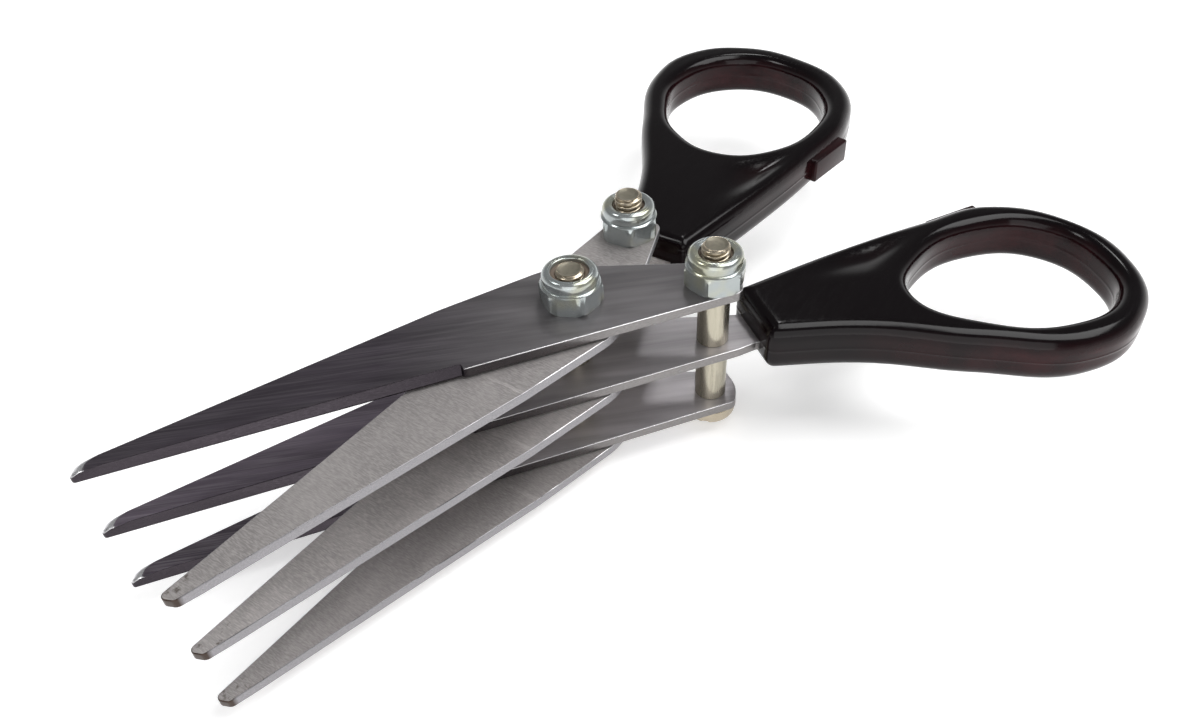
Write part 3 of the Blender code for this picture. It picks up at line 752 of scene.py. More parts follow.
def blade_section(sizes, outline, heel, tip, reach, tip_round, stock):
    """The direction of the cutting edge, and the rings of points on the sheet's edges.

    Each ring is how far it lies inside the outline, how far it slides back along the edge, and its height.
    The first ring bounds the face at the other set, and the last the ground face, which leans back.
    """
    edge_length = np.hypot(*(tip - heel))
    edge = (tip - heel) / edge_length
    inward = np.array((edge[1], -edge[0]))
    travel = (outline - heel) @ edge / edge_length
    beside = np.abs((outline - heel) @ inward)
    on_edge = (travel >= -0.001) & (beside < sizes.width * EDGE_BAND_SHARE) & (outline[:, 0] > 0)
    lean = sizes.grind_heel + (sizes.grind_tip - sizes.grind_heel) * np.clip(travel, 0, 1)
    at_tip = step_between(outline[:, 0], reach - sizes.tip_reach,
                          reach - sizes.tip_reach * GRIND_END_SHARE)
    ground = np.where(on_edge, lean, 0.0) * (1 - at_tip)
    reached = travel * edge_length
    end = reached.max()
    fall = tip_round * step_between(reached, end - sizes.tip_reach, end - sizes.tip_reach * FALL_END_SHARE)
    rounding = np.full(len(outline), sizes.edge_round)
    still = np.zeros(len(outline))

    section = []
    for turn in np.linspace(0, math.pi / 2, LOWER_RINGS):
        section.append((rounding * (1 - math.sin(turn)), still, rounding * (1 - math.cos(turn)) - stock / 2))
    section.append((still, still, still + sizes.land - stock / 2))
    for turn in np.linspace(0, math.pi / 2, UPPER_RINGS):
        inside_share = 1 - math.cos(turn)
        section.append((ground + rounding * inside_share, fall * sizes.tip_sweep * inside_share,
                        stock / 2 - (rounding + fall) * (1 - math.sin(turn))))
    return edge, section


def blade_object(name, sizes, letter, level, materials):
    """One blade: stamped sheet with its holes, its ground cutting edge and its rounded shear edges."""
    reach = sizes.length_a if letter == "a" else sizes.length_b
    tip_round = sizes.tip_round_a if letter == "a" else sizes.tip_round_b
    low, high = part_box(f"blade_{letter}_top")
    stock = high.z - low.z
    low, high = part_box(name)
    handles = bpy.context.scene.scissors_handles
    collar = None
    if level == "middle":
        collar = handles.thumb_collar if letter == "a" else handles.finger_collar
    corners = blade_corners(sizes, letter, reach, collar)
    outline = np.array(divided(filleted(corners, CORNER_STEPS), EDGE_SPACING))
    heel, tip = np.array(corners[0][:2]), np.array(corners[1][:2])
    edge, section = blade_section(sizes, outline, heel, tip, reach, tip_round, stock)
    inwards = outline - inset(outline, 1.0, True)

    # The ground face is the one away from the other set
    outer = 1 if letter == "a" else -1
    form = bmesh.new()
    rings = []
    for back, sweep, height in section:
        moved = outline + inwards * back[:, None] - np.outer(sweep, edge)
        rings.append([form.verts.new((x, y, z * outer)) for (x, y), z in zip(moved, height)])
    for first, second in zip(rings, rings[1:]):
        bridge(form, first, second, 1)
    fill_with_holes(form, rings[0], rings[-1], (0.0, -sizes.link), sizes.hole / 2, stock / 2 * outer)
    bmesh.ops.recalc_face_normals(form, faces=form.faces)
    item = from_bmesh(name + "_finish", form, *materials)
    if collar is not None and letter == "b":
        crank(item, sizes, collar - sizes.crank_end, high.z - low.z - stock)
    place(item, Matrix.Translation((0, 0, low.z + stock / 2)) @ set_frame(letter))
    smooth(item)
    return item


def bridge(form, first, second, material_index=0):
    """Closes the strip between two rings of as many points."""
    for index in range(len(first)):
        after = (index + 1) % len(first)
        face = form.faces.new((first[index], first[after], second[after], second[index]))
        face.material_index = material_index


def fill_with_holes(form, lower, upper, centres, radius, height):
    """Closes both faces of a sheet round its bolt holes, and lines the holes."""
    walls = []
    for ring, level in ((lower, -height), (upper, height)):
        loops = [ring]
        for centre in centres:
            loops.append([form.verts.new((x, y, level))
                          for x, y in arc((centre, 0.0), radius, 0.0, math.tau, HOLE_STEPS)[:-1]])
        edges = []
        for loop in loops:
            for first, second in zip(loop, loop[1:] + loop[:1]):
                edges.append(form.edges.get((first, second)) or form.edges.new((first, second)))
        bmesh.ops.triangle_fill(form, use_beauty=True, edges=edges, normal=(0, 0, 1))
        walls.append(loops[1:])
    for below, above in zip(*walls):
        bridge(form, below, above, 1)


def crank(item, sizes, collar, rise):
    """Bends the tang up by a rise between the tail of the blade and the collar."""
    form = bmesh.new()
    form.from_mesh(item.data)
    start = -sizes.tail
    run = -collar - start
    for step in range(CRANK_STEPS + 1):
        cut = start + run * step / CRANK_STEPS
        everything = form.verts[:] + form.edges[:] + form.faces[:]
        bmesh.ops.bisect_plane(form, geom=everything, dist=0.001 * MM, plane_co=(cut, 0, 0),
                               plane_no=(1, 0, 0))
    for vertex in form.verts:
        vertex.co.z += rise * float(step_between(vertex.co.x, start, start + run))
    form.to_mesh(item.data)
    form.free()


def smooth_outline(points, corners=()):
    """A closed outline through points with smooth turns, sharp at the corners given."""
    curve = bpy.data.curves.new("outline", "CURVE")
    curve.dimensions = "2D"
    spline = curve.splines.new("BEZIER")
    spline.bezier_points.add(len(points) - 1)
    for point, (x, y) in zip(spline.bezier_points, points):
        point.co = (x, y, 0.0)
        point.handle_left_type = "AUTO"
        point.handle_right_type = "AUTO"
    for corner in corners:
        spline.bezier_points[corner].handle_left_type = "VECTOR"
        spline.bezier_points[corner].handle_right_type = "VECTOR"
    spline.use_cyclic_u = True
    draft = bpy.data.objects.new("outline", curve)
    bpy.context.collection.objects.link(draft)
    bpy.context.view_layer.update()
    outline = []
    knots = spline.bezier_points
    for first, second in zip(knots, list(knots[1:]) + [knots[0]]):
        run = geometry.interpolate_bezier(first.co, first.handle_right, second.handle_left, second.co,
                                          CURVE_POINTS)
        outline.extend((point.x, point.y) for point in run[:-1])
    bpy.data.objects.remove(draft, do_unlink=True)
    return outline


def even_points(outline, spacing):
    """Points at an even spacing along a closed outline."""
    points = np.array(outline)
    closed = np.vstack([points, points[:1]])
    steps = np.hypot(*np.diff(closed, axis=0).T)
    travel = np.concatenate([[0.0], np.cumsum(steps)])
    count = int(round(travel[-1] / spacing))
    wanted = np.arange(count) * travel[-1] / count
    return np.stack([np.interp(wanted, travel, closed[:, axis]) for axis in (0, 1)], axis=1)


def round_corners(outline, near, radius):
    """Rounds the corners of an outline that lie next to the points given."""
    points = [tuple(point) for point in outline]
    result = []
    size = len(points)
    skip = set()
    replaced = {}
    for corner in near:
        centre = min(range(size), key=lambda index: math.dist(points[index], corner))
        apex = Vector(points[centre])
        before = centre
        while (Vector(points[before % size]) - apex).length < radius:
            before -= 1
        after = centre
        while (Vector(points[after % size]) - apex).length < radius:
            after += 1
        start = Vector(points[before % size])
        end = Vector(points[after % size])
        skip.update(index % size for index in range(before + 1, after))
        curve = []
        for step in range(1, COLLAR_STEPS):
            share = step / COLLAR_STEPS
            curve.append(tuple((1 - share) ** 2 * start + 2 * share * (1 - share) * apex + share ** 2 * end))
        replaced[centre] = curve
    for index in range(size):
        if index in replaced:
            result.extend(replaced[index])
        elif index not in skip:
            result.append(points[index])
    return result


def distance_to(outline, points):
    """Distance of each point from a closed outline."""
    start = outline
    step = np.roll(outline, -1, axis=0) - start
    lengths = (step ** 2).sum(1)
    best = np.full(len(points), np.inf)
    for origin, run, squared in zip(start, step, lengths):
        offset = points - origin
        share = np.clip((offset @ run) / squared, 0, 1)
        gap = ((offset - share[:, None] * run) ** 2).sum(1)
        best = np.minimum(best, gap)
    return np.sqrt(best)


def inside(outline, points):
    """Whether each point lies inside a closed outline."""
    x, y = points[:, 0], points[:, 1]
    result = np.zeros(len(points), bool)
    for (x1, y1), (x2, y2) in zip(outline, np.roll(outline, -1, axis=0)):
        crosses = (y1 > y) != (y2 > y)
        if crosses.any():
            meet = (x2 - x1) * (y - y1) / (y2 - y1 + 1e-18) + x1
            result ^= crosses & (x < meet)
    return result


def inset(outline, depth, outwards):
    """An outline moved square to itself by a depth."""
    tangent = np.roll(outline, -1, axis=0) - np.roll(outline, 1, axis=0)
    tangent /= np.hypot(*tangent.T)[:, None]
    x, y = outline.T
    area = 0.5 * np.sum(x * np.roll(y, -1) - np.roll(x, -1) * y)
    normal = np.stack([tangent[:, 1], -tangent[:, 0]], axis=1) * (1 if area > 0 else -1)
    return outline + normal * depth * (1 if outwards else -1)


def step_between(value, low, high):
    """A smooth step from 0 to 1 between two values."""
    share = np.clip((value - low) / (high - low), 0, 1)
    return share * share * (3 - 2 * share)


def handle_plan(outer, hole):
    """Triangles over a handle's plan: points, faces, and which of the points each outline point became."""
    kept = []
    for depth in RING_DEPTHS:
        for outline, outwards in ((outer, False), (hole, True)):
            ring = inset(outline, depth, outwards)
            nearest = np.minimum(distance_to(outer, ring), distance_to(hole, ring))
            kept.append(ring[nearest > depth * RING_SHARE])
    low, high = outer.min(0), outer.max(0)
    columns = np.arange(low[0], high[0], FACE_SPACING)
    rows = np.arange(low[1], high[1], FACE_SPACING * ROW_SHARE)
    grid = np.array([(x + (FACE_SPACING / 2 if row % 2 else 0), y)
                     for row, y in enumerate(rows) for x in columns])
    grid = grid[inside(outer, grid) & ~inside(hole, grid)]
    kept.append(grid[np.minimum(distance_to(outer, grid), distance_to(hole, grid)) > RINGED_DEPTH])

    # Rings that follow the edges crowd where the plan is narrow, so near twins are left out
    cells = {}
    for point in np.vstack(kept):
        cell = (round(point[0] / TWIN_DISTANCE), round(point[1] / TWIN_DISTANCE))
        cells.setdefault(cell, point)
    points = np.vstack([outer, hole, np.array(list(cells.values()))])
    loops = []
    for start, count in ((0, len(outer)), (len(outer), len(hole))):
        loops.extend((start + index, start + (index + 1) % count) for index in range(count))

    # The triangulation's tolerance is a bare length, so it works in millimetres
    per_metre = 1000.0
    found = geometry.delaunay_2d_cdt([Vector(point * per_metre) for point in points], loops, [], 0, 1e-6)
    plan = np.array([tuple(point) for point in found[0]]) / per_metre
    faces = np.array([face for face in found[2]])
    middles = plan[faces].mean(1)
    faces = faces[inside(outer, middles) & ~inside(hole, middles)]
    source = {original: index for index, originals in enumerate(found[3]) for original in originals}
    return plan, faces, source


def handle_top(outer, hole, plan, thick, sizes, loop_start):
    """Height of a handle's upper face over its plan: hollowed before the loop and rounded at its edges."""
    back = -plan[:, 0]
    to_outer = distance_to(outer, plan)
    to_hole = distance_to(hole, plan)
    side = -outer[:, 1].min()

    # The neck is hollowed in front of the inner half of the loop, and runs level into its outer half
    before_loop = 1 - step_between(back, loop_start + HOLLOW_BACK[0], loop_start + HOLLOW_BACK[1])
    inner_half = step_between(-plan[:, 1], HOLLOW_ACROSS[0] * side, HOLLOW_ACROSS[1] * side)
    off_edge = step_between(to_outer, *HOLLOW_OFF_EDGE)
    off_loop = step_between(to_hole, *HOLLOW_OFF_LOOP)
    near_loop = 1 - step_between(to_hole, *HOLLOW_GONE)
    top = thick / 2 - sizes.neck_dip * before_loop * inner_half * off_edge * near_loop * off_loop

    # Its outer edge is rounded more round the loop than along the neck
    loop_share = step_between(back, loop_start + ROUNDING_TURN[0], loop_start + ROUNDING_TURN[1])
    outer_round = sizes.neck_round + (sizes.ring_round - sizes.neck_round) * loop_share
    hole_round = np.full(len(plan), sizes.ring_round * HOLE_ROUND_SHARE)
    for away, rounding in ((to_outer, outer_round), (to_hole, hole_round)):
        depth = np.clip(rounding - away, 0, None)
        top = top - (rounding - np.sqrt(np.clip(rounding ** 2 - depth ** 2, 0, None)))
    return top


def handle_object(name, outer, hole, thick, sizes, loop_start, material):
    """A moulded handle: two faces over a plan with a loop, and walls with the parting line's ridge."""
    outer = even_points(outer, OUTLINE_SPACING)
    hole = even_points(hole, OUTLINE_SPACING)
    plan, faces, source = handle_plan(outer, hole)
    top = handle_top(outer, hole, plan, thick, sizes, loop_start)
    form = bmesh.new()
    upper = [form.verts.new((x, y, z)) for (x, y), z in zip(plan, top)]
    lower = [form.verts.new((x, y, -z)) for (x, y), z in zip(plan, top)]
    for a, b, c in faces:
        form.faces.new((upper[a], upper[b], upper[c]))
        form.faces.new((lower[c], lower[b], lower[a]))
    for start, outline, outwards in ((0, outer, True), (len(outer), hole, False)):
        count = len(outline)
        ids = [source[start + index] for index in range(count)]
        ridge = inset(outline, sizes.seam, outwards)
        strips = [[upper[index] for index in ids]]
        for share in WALL_LEVEL_SHARES:
            proud = ridge if share == 0.0 else outline
            strips.append([form.verts.new((*proud[index], top[ids[index]] * share))
                           for index in range(count)])
        strips.append([lower[index] for index in ids])
        for first, second in zip(strips, strips[1:]):
            bridge(form, first, second)
    bmesh.ops.recalc_face_normals(form, faces=form.faces)
    return from_bmesh(name + "_finish", form, material)


def stop_nub(sizes):
    """The block on a handle's inner side that meets the other handle's when the scissors close."""
    form = bmesh.new()
    matrix = (Matrix.Rotation(math.pi + sizes.nub_angle, 4, "Z")
              @ Matrix.Translation((sizes.nub_distance + sizes.nub_length / 2, -sizes.nub_root / 2, 0))
              @ Matrix.Diagonal((sizes.nub_length, sizes.nub_root, sizes.nub_height, 1)))
    bmesh.ops.create_cube(form, size=1.0, matrix=matrix)
    bmesh.ops.bevel(form, geom=form.edges[:], offset=sizes.nub_round, segments=4, profile=0.5, affect="EDGES")
    return from_bmesh("nub", form)


def tang_pocket(sizes, collar, stock, height):
    """The room that a tang takes in its handle, carried on past the mouth so that it cuts clean."""
    (u1, v1), (u2, v2), (u3, v3), (u4, v4) = tang_outline(sizes, collar, POCKET_SLACK)
    mouth = u1 + POCKET_OVERRUN
    plan = ((mouth, v1 + (v1 - v2) / (u1 - u2) * (mouth - u1)), (u2, v2), (u3, v3),
            (mouth, v4 + (v4 - v3) / (u4 - u3) * (mouth - u4)))
    form = bmesh.new()
    rings = [[form.verts.new((u, v, z)) for u, v in plan]
             for z in (-stock / 2 - POCKET_SLACK, stock / 2 + POCKET_SLACK)]
    for ring in rings:
        form.faces.new(ring)
    bridge(form, *rings)
    bmesh.ops.recalc_face_normals(form, faces=form.faces)
    pocket = from_bmesh("pocket", form)
    pocket.location.z = height
    return pocket


def make_handle(letter, name, collar, reach, width, outer_shares, hole_shares, material):
    """A handle with its stop nub and the pocket that grips the tang, in its set's place."""
    sizes = bpy.context.scene.scissors_handles
    low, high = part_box(name)
    centre = (high.z + low.z) / 2
    corners = [(-collar - u * reach, v * width) for u, v in outer_shares]
    outer = smooth_outline(corners, (0, len(corners) - 1))
    outer = round_corners(outer, (corners[0], corners[-1]), sizes.corner_round)
    hole = smooth_outline([(-collar - u * reach, v * width) for u, v in hole_shares])
    loop_start = collar + hole_shares[0][0] * reach
    item = handle_object(name, outer, hole, high.z - low.z, sizes, loop_start, material)
    carve(item, stop_nub(sizes), "UNION")
    blade_low, blade_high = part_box("blade_a_middle")
    tang_height = (blade_low.z + blade_high.z) / 2 - centre
    blades = bpy.context.scene.scissors_blades
    carve(item, tang_pocket(blades, collar, blade_high.z - blade_low.z, tang_height))
    place(item, Matrix.Translation((0, 0, centre)) @ set_frame(letter))
    smooth(item, angle=40.0, weighted=False)
    dress(item, letter, "handle_plastic", name)


def tree_inputs(tree, *names):
    """Gives a node tree its output and its named inputs for sizes, and returns the inputs' sockets."""
    for name in names:
        tree.interface.new_socket(name, in_out="INPUT", socket_type="NodeSocketFloat")
    tree.interface.new_socket("Geometry", in_out="OUTPUT", socket_type="NodeSocketGeometry")
    return add_node(tree, "NodeGroupInput").outputs


def finish_tree(tree, shape, material):
    """Ends a node tree in real geometry with its material."""
    real = add_node(tree, "GeometryNodeRealizeInstances", {"Geometry": shape})
    painted = add_node(tree, "GeometryNodeSetMaterial", {"Geometry": real.outputs[0], "Material": material})
    add_node(tree, "NodeGroupOutput", {"Geometry": painted.outputs[0]})


def thread_tree(material):
    """Geometry Nodes that turn a cylinder's wall into a screw thread with a chamfered end."""
    tree = bpy.data.node_groups.new("Screw Thread", "GeometryNodeTree")
    given = tree_inputs(tree, "Diameter", "Depth", "Pitch", "Length", "Chamfer")
    radius = add_node(tree, "ShaderNodeMath", (given["Diameter"], 0.5), operation="MULTIPLY").outputs[0]
    turns = add_node(tree, "ShaderNodeMath", (given["Length"], given["Pitch"]), operation="DIVIDE").outputs[0]
    rings = add_node(tree, "ShaderNodeMath", (turns, THREAD_RINGS), operation="MULTIPLY").outputs[0]
    cylinder = add_node(tree, "GeometryNodeMeshCylinder", {"Vertices": ROUND_STEPS, "Side Segments": rings,
                                                           "Radius": radius, "Depth": given["Length"]},
                        fill_type="NGON").outputs["Mesh"]

    # The ridge climbs by a pitch in each turn; the wave runs from 0 in the groove to 1 on the crest
    spot = add_node(tree, "GeometryNodeInputPosition").outputs[0]
    parts = add_node(tree, "ShaderNodeSeparateXYZ", (spot,)).outputs
    angle = add_node(tree, "ShaderNodeMath", (parts[1], parts[0]), operation="ARCTAN2").outputs[0]
    turn = add_node(tree, "ShaderNodeMath", (angle, math.tau), operation="DIVIDE").outputs[0]
    rise = add_node(tree, "ShaderNodeMath", (parts[2], given["Pitch"]), operation="DIVIDE").outputs[0]
    phase = add_node(tree, "ShaderNodeMath", (rise, turn), operation="SUBTRACT").outputs[0]
    fold = add_node(tree, "ShaderNodeMath", (phase, 0.5), operation="PINGPONG").outputs[0]
    wave = add_node(tree, "ShaderNodeMath", (fold, 2.0), operation="MULTIPLY").outputs[0]
    flank = add_node(tree, "ShaderNodeMapRange", (wave, *FLANK_RANGE, 0.0, 1.0),
                     interpolation_type="SMOOTHSTEP").outputs[0]
    ridge = add_node(tree, "ShaderNodeMath", (flank, given["Depth"]), operation="MULTIPLY").outputs[0]
    core = add_node(tree, "ShaderNodeMath", (radius, given["Depth"]), operation="SUBTRACT").outputs[0]
    surface = add_node(tree, "ShaderNodeMath", (core, ridge), operation="ADD").outputs[0]

    # The chamfer at the end limits the radius
    half = add_node(tree, "ShaderNodeMath", (given["Length"], 0.5), operation="MULTIPLY").outputs[0]
    below = add_node(tree, "ShaderNodeMath", (half, parts[2]), operation="SUBTRACT").outputs[0]
    narrow = add_node(tree, "ShaderNodeMath", (radius, given["Chamfer"]), operation="SUBTRACT").outputs[0]
    limit = add_node(tree, "ShaderNodeMath", (narrow, below), operation="ADD").outputs[0]
    cut = add_node(tree, "ShaderNodeMath", (surface, limit), operation="MINIMUM").outputs[0]
    share = add_node(tree, "ShaderNodeMath", (cut, radius), operation="DIVIDE").outputs[0]
    scale = add_node(tree, "ShaderNodeCombineXYZ", (share, share, 1.0)).outputs[0]
    moved = add_node(tree, "ShaderNodeVectorMath", (spot, scale), operation="MULTIPLY").outputs[0]
    shaped = add_node(tree, "GeometryNodeSetPosition", {"Geometry": cylinder, "Position": moved})
    finish_tree(tree, shaped.outputs[0], material)
    return tree


def tube_tree(name, material):
    """Geometry Nodes that sweep a rounded wall section round a circle, for spacers and locking rings."""
    tree = bpy.data.node_groups.new(name, "GeometryNodeTree")
    given = tree_inputs(tree, "Bore", "Wall", "Height", "Rounding")
    across = add_node(tree, "ShaderNodeMath", (given["Bore"], given["Wall"]), operation="ADD").outputs[0]
    middle = add_node(tree, "ShaderNodeMath", (across, 0.5), operation="MULTIPLY").outputs[0]
    path = add_node(tree, "GeometryNodeCurvePrimitiveCircle", {"Resolution": ROUND_STEPS, "Radius": middle})
    wall = add_node(tree, "GeometryNodeCurvePrimitiveQuadrilateral", {"Width": given["Wall"],
                                                                      "Height": given["Height"]})
    section = add_node(tree, "GeometryNodeFilletCurve", {"Curve": wall.outputs[0],
                                                         "Radius": given["Rounding"]})
    swept = add_node(tree, "GeometryNodeCurveToMesh", {"Curve": path.outputs[0],
                                                       "Profile Curve": section.outputs[0]})
    finish_tree(tree, swept.outputs[0], material)
    return tree


def grown(name, tree, values):
    """A plain mesh object grown by a node tree from named input values."""
    item = new_object(name, bpy.data.meshes.new(name))
    modifier = item.modifiers.new("grow", "NODES")
    modifier.node_group = tree
    for socket in tree.interface.items_tree:
        if socket.in_out == "INPUT" and socket.name in values:
            modifier[socket.identifier] = values[socket.name]
    return settle(item)


def join(first, second):
    """Adds a second object's mesh to the first one's, and removes the second object."""
    form = bmesh.new()
    form.from_mesh(first.data)
    second.data.transform(second.matrix_basis)
    form.from_mesh(second.data)
    form.to_mesh(first.data)
    form.free()
    bpy.data.objects.remove(second, do_unlink=True)


def on_bolt(stack, height):
    """Placement on a stack's bolt, at a height."""
    x = stack.place_share * bpy.context.scene.scissors_blades.link
    return set_axis(stack.letter) @ Matrix.Translation((x, 0, height))


def headed_shank(name, low, radius, thread_start, sizes, materials):
    """A bolt's low round head and the plain shank on it, as far as its thread."""
    head_top = low + sizes.head_height + sizes.seat
    rim = HEAD_RIM
    shank_top = thread_start + THREAD_OVERLAP
    shank = sizes.shank / 2
    rounding = sizes.head_round
    profile = [(0, shank_top), (shank, shank_top), (shank, head_top), (radius - rim, head_top)]
    profile.extend(arc((radius - rim, head_top - rim), rim, math.pi / 2, 0, 4))
    profile.extend(arc((radius - rounding, low + rounding), rounding, 0, -math.pi / 2, 14))
    profile.append((0, low))
    return from_bmesh(name + "_finish", turned_mesh(profile, ROUND_STEPS), *materials)


def dished_thread(sizes, tree, span):
    """A bolt's thread, with the shallow dish in its cut end, which has a finish of its own."""
    thread = grown("thread", tree, {"Diameter": sizes.thread, "Depth": sizes.thread_depth,
                                    "Pitch": sizes.pitch, "Length": span, "Chamfer": sizes.thread_chamfer})
    form = bmesh.new()
    form.from_mesh(thread.data)
    for face in form.faces:
        face.material_index = 0
    end = [face for face in form.faces if len(face.verts) > 8 and face.normal.z > 0.9]
    bmesh.ops.inset_individual(form, faces=end, thickness=sizes.end_rim, depth=0.0)
    for thickness, depth in DISH_STEPS:
        sides = bmesh.ops.inset_individual(form, faces=end, thickness=thickness, depth=-depth)["faces"]
        for face in sides + end:
            face.material_index = 1
    form.to_mesh(thread.data)
    form.free()
    return thread


def make_bolt(stack, sizes, tree, materials):
    """A bolt: a low slotted head, a plain shank and a threaded end with a chamfer and a dished face."""
    name = stack.fasteners.format("bolt")
    low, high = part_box(name)
    thread_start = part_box(stack.fasteners.format("nut"))[0].z
    head = max(high.x - low.x, high.y - low.y) / 2
    item = headed_shank(name, low.z, head, thread_start, sizes, materials)
    form = bmesh.new()
    matrix = (Matrix.Translation((0, 0, low.z)) @ Matrix.Rotation(stack.slot_turn, 4, "Z")
              @ Matrix.Diagonal((3 * head, sizes.slot_width, 2 * sizes.slot_depth, 1)))
    bmesh.ops.create_cube(form, size=1.0, matrix=matrix)
    carve(item, from_bmesh("slot", form))
    span = high.z - thread_start
    thread = dished_thread(sizes, tree, span)
    thread.location.z = thread_start + span / 2
    join(item, thread)
    place(item, on_bolt(stack, 0))
    smooth(item, angle=40.0, weighted=False)
    dress(item, stack.letter, "bolt_steel", name)


def nut_section(sizes, height, hex_top, worn):
    """A nut's profile above its hexagon: bevelled flange, groove, rolled collar, rim, ring's seat, bore."""
    collar = sizes.collar / 2
    wall = collar - sizes.collar_step
    flange_top = hex_top + sizes.flange
    section = [(collar + out, hex_top + up) for out, up in FLANGE_PROFILE]
    section.extend((wall + out, flange_top + up) for out, up in GROOVE_PROFILE)
    rolled = sizes.collar_round
    rim = sizes.rim_round
    lip = sizes.lip + worn
    seat = sizes.ring_seat / 2
    bore = sizes.nut_bore / 2
    section.extend(arc((wall - rolled, height - rolled), rolled, 0, ROLL_END, 16))
    section.extend(arc((lip + rim, height - RIM_DROP - rim), rim, ROLL_END, math.pi, 6))
    inner = zip((lip, seat, seat, bore), INNER_DEPTHS)
    section.extend((radius, height - depth) for radius, depth in inner)
    section.append((bore, 0.0))
    return section


def make_nut(stack, sizes, material):
    """A lock nut: chamfered hexagon below, bevelled flange and rolled round collar above, bored through."""
    name = stack.fasteners.format("nut")
    low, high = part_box(name)
    foot = low.z - sizes.seat
    height = high.z - foot
    half = sizes.flats / 2
    collar = sizes.collar / 2
    foot_radius = collar - FOOT_STEP
    corner = half / math.cos(math.pi / 6)
    slope = (corner - collar) / sizes.chamfer
    hex_top = height * sizes.hex_share
    section = nut_section(sizes, height, hex_top, stack.worn)
    form = bmesh.new()
    columns = []
    for step in range(NUT_STEPS):
        angle = math.tau * step / NUT_STEPS
        flat = half / math.cos((angle + math.pi / 6) % (math.pi / 3) - math.pi / 6)
        above = max(0.0, flat - foot_radius) / slope
        below = max(0.0, flat - collar) / slope
        column = [(min(flat, foot_radius), 0.0), (flat, above + CHAMFER_LAND),
                  (flat, hex_top - below - CHAMFER_LAND), (min(flat, collar), hex_top)]
        x, y = math.cos(angle + stack.nut_turn), math.sin(angle + stack.nut_turn)
        columns.append([form.verts.new((radius * x, radius * y, z)) for radius, z in column + section])
    for first, second in zip(columns, columns[1:] + columns[:1]):
        bridge(form, first, second)
    bmesh.ops.remove_doubles(form, verts=form.verts, dist=0.001 * MM)
    bmesh.ops.recalc_face_normals(form, faces=form.faces)
    item = from_bmesh(name + "_finish", form, material)
    place(item, on_bolt(stack, foot))
    smooth(item, angle=38.0)
    dress(item, stack.letter, "nut_zinc", name)


def make_tube(stack, name, sizes, tree, bore, wall, closing, slot):
    """A spacer or locking ring from its node tree, in place, made taller by the clearance that it closes."""
    low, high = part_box(name)
    item = grown(name + "_finish", tree, {"Bore": bore, "Wall": wall, "Height": high.z - low.z + closing,
                                          "Rounding": sizes.tube_round})
    form = bmesh.new()
    form.from_mesh(item.data)
    bmesh.ops.recalc_face_normals(form, faces=form.faces)
    form.to_mesh(item.data)
    form.free()
    place(item, on_bolt(stack, (low.z + high.z) / 2))
    smooth(item, angle=50.0)
    dress(item, stack.letter, slot, name)


class SCISSORS_OT_blades(bpy.types.Operator):
    """Builds the six blades"""
    bl_idname = "scissors.blades"
    bl_label = "Blades"

    def execute(self, context):
        sizes = context.scene.scissors_blades
        zone = sizes.tip_reach
        soiled_zone = zone * 0.45
        # Each layer gets its own copies of the steels, brightened by that layer's shares as painted light
        # against the shade of the layers above
        for level, front_share, rear_share, pale_share in LEVEL_LIGHT_SHARES:
            angle, reach = SETS["a"].angle, sizes.length_a
            face = brushed_dark_stainless(f"lengthwise_brushed_stainless_{level}", angle,
                                          scaled(sizes.dark, front_share), scaled(sizes.rear, rear_share),
                                          sizes.polish, reach, zone)
            edge = sheared_edge_steel(f"sheared_edge_stainless_{level}", angle, sizes.dark_edge,
                                      sizes.rear_edge, sizes.polish, reach, zone, lifted=0.30)
            item = blade_object(f"blade_a_{level}", sizes, "a", level, (face, edge))
            dress(item, "a", "blade_steel_dark", f"blade_a_{level}")

            # All of a pale blade's tip is soiled, whichever way it faces
            angle, reach = SETS["b"].angle, sizes.length_b
            face = ground_pale_stainless(f"crosswise_ground_stainless_{level}", angle,
                                         scaled(sizes.pale, pale_share), reach, zone)
            edge = sheared_edge_steel(f"sheared_pale_edge_{level}", angle, sizes.pale_edge, sizes.pale_edge,
                                      sizes.soiled, reach, soiled_zone, lifted=-2.0)
            item = blade_object(f"blade_b_{level}", sizes, "b", level, (face, edge))
            dress(item, "b", "blade_steel_pale", f"blade_b_{level}")
        return {"FINISHED"}


class SCISSORS_OT_handles(bpy.types.Operator):
    """Builds the thumb handle and the finger handle"""
    bl_idname = "scissors.handles"
    bl_label = "Handles"

    def execute(self, context):
        sizes = context.scene.scissors_handles
        low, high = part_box("handle_thumb")
        plastic = glossy_handle_plastic("glossy_moulded_polystyrene", sizes.plastic, sizes.plastic_warm,
                                        (low.z + high.z) / 2, (high.z - low.z) / 2)
        make_handle("a", "handle_thumb", sizes.thumb_collar, sizes.thumb_length, sizes.thumb_width,
                    THUMB_OUTER_SHARES, THUMB_HOLE_SHARES, plastic)
        make_handle("b", "handle_finger", sizes.finger_collar, sizes.finger_length, sizes.finger_width,
                    FINGER_OUTER_SHARES, FINGER_HOLE_SHARES, plastic)
        return {"FINISHED"}


class SCISSORS_OT_bolts(bpy.types.Operator):
    """Builds the three bolts"""
    bl_idname = "scissors.bolts"
    bl_label = "Bolts"

    def execute(self, context):
        sizes = context.scene.scissors_fasteners
        plate = plated_metal("yellow_chromated_bolt_plate", sizes.bolt, scaled(sizes.bolt, 0.75),
                             roughness=0.20, patch=1.5 * MM, metallic=0.85, marked=0.04)
        dull = plated_metal("thin_plate_on_cut_end", sizes.cut_end, scaled(sizes.cut_end, 0.7),
                            roughness=0.42, patch=0.8 * MM, metallic=0.8, marked=0.3)
        thread = thread_tree(plate)
        for stack in STACKS:
            make_bolt(stack, sizes, thread, (plate, dull))
        return {"FINISHED"}


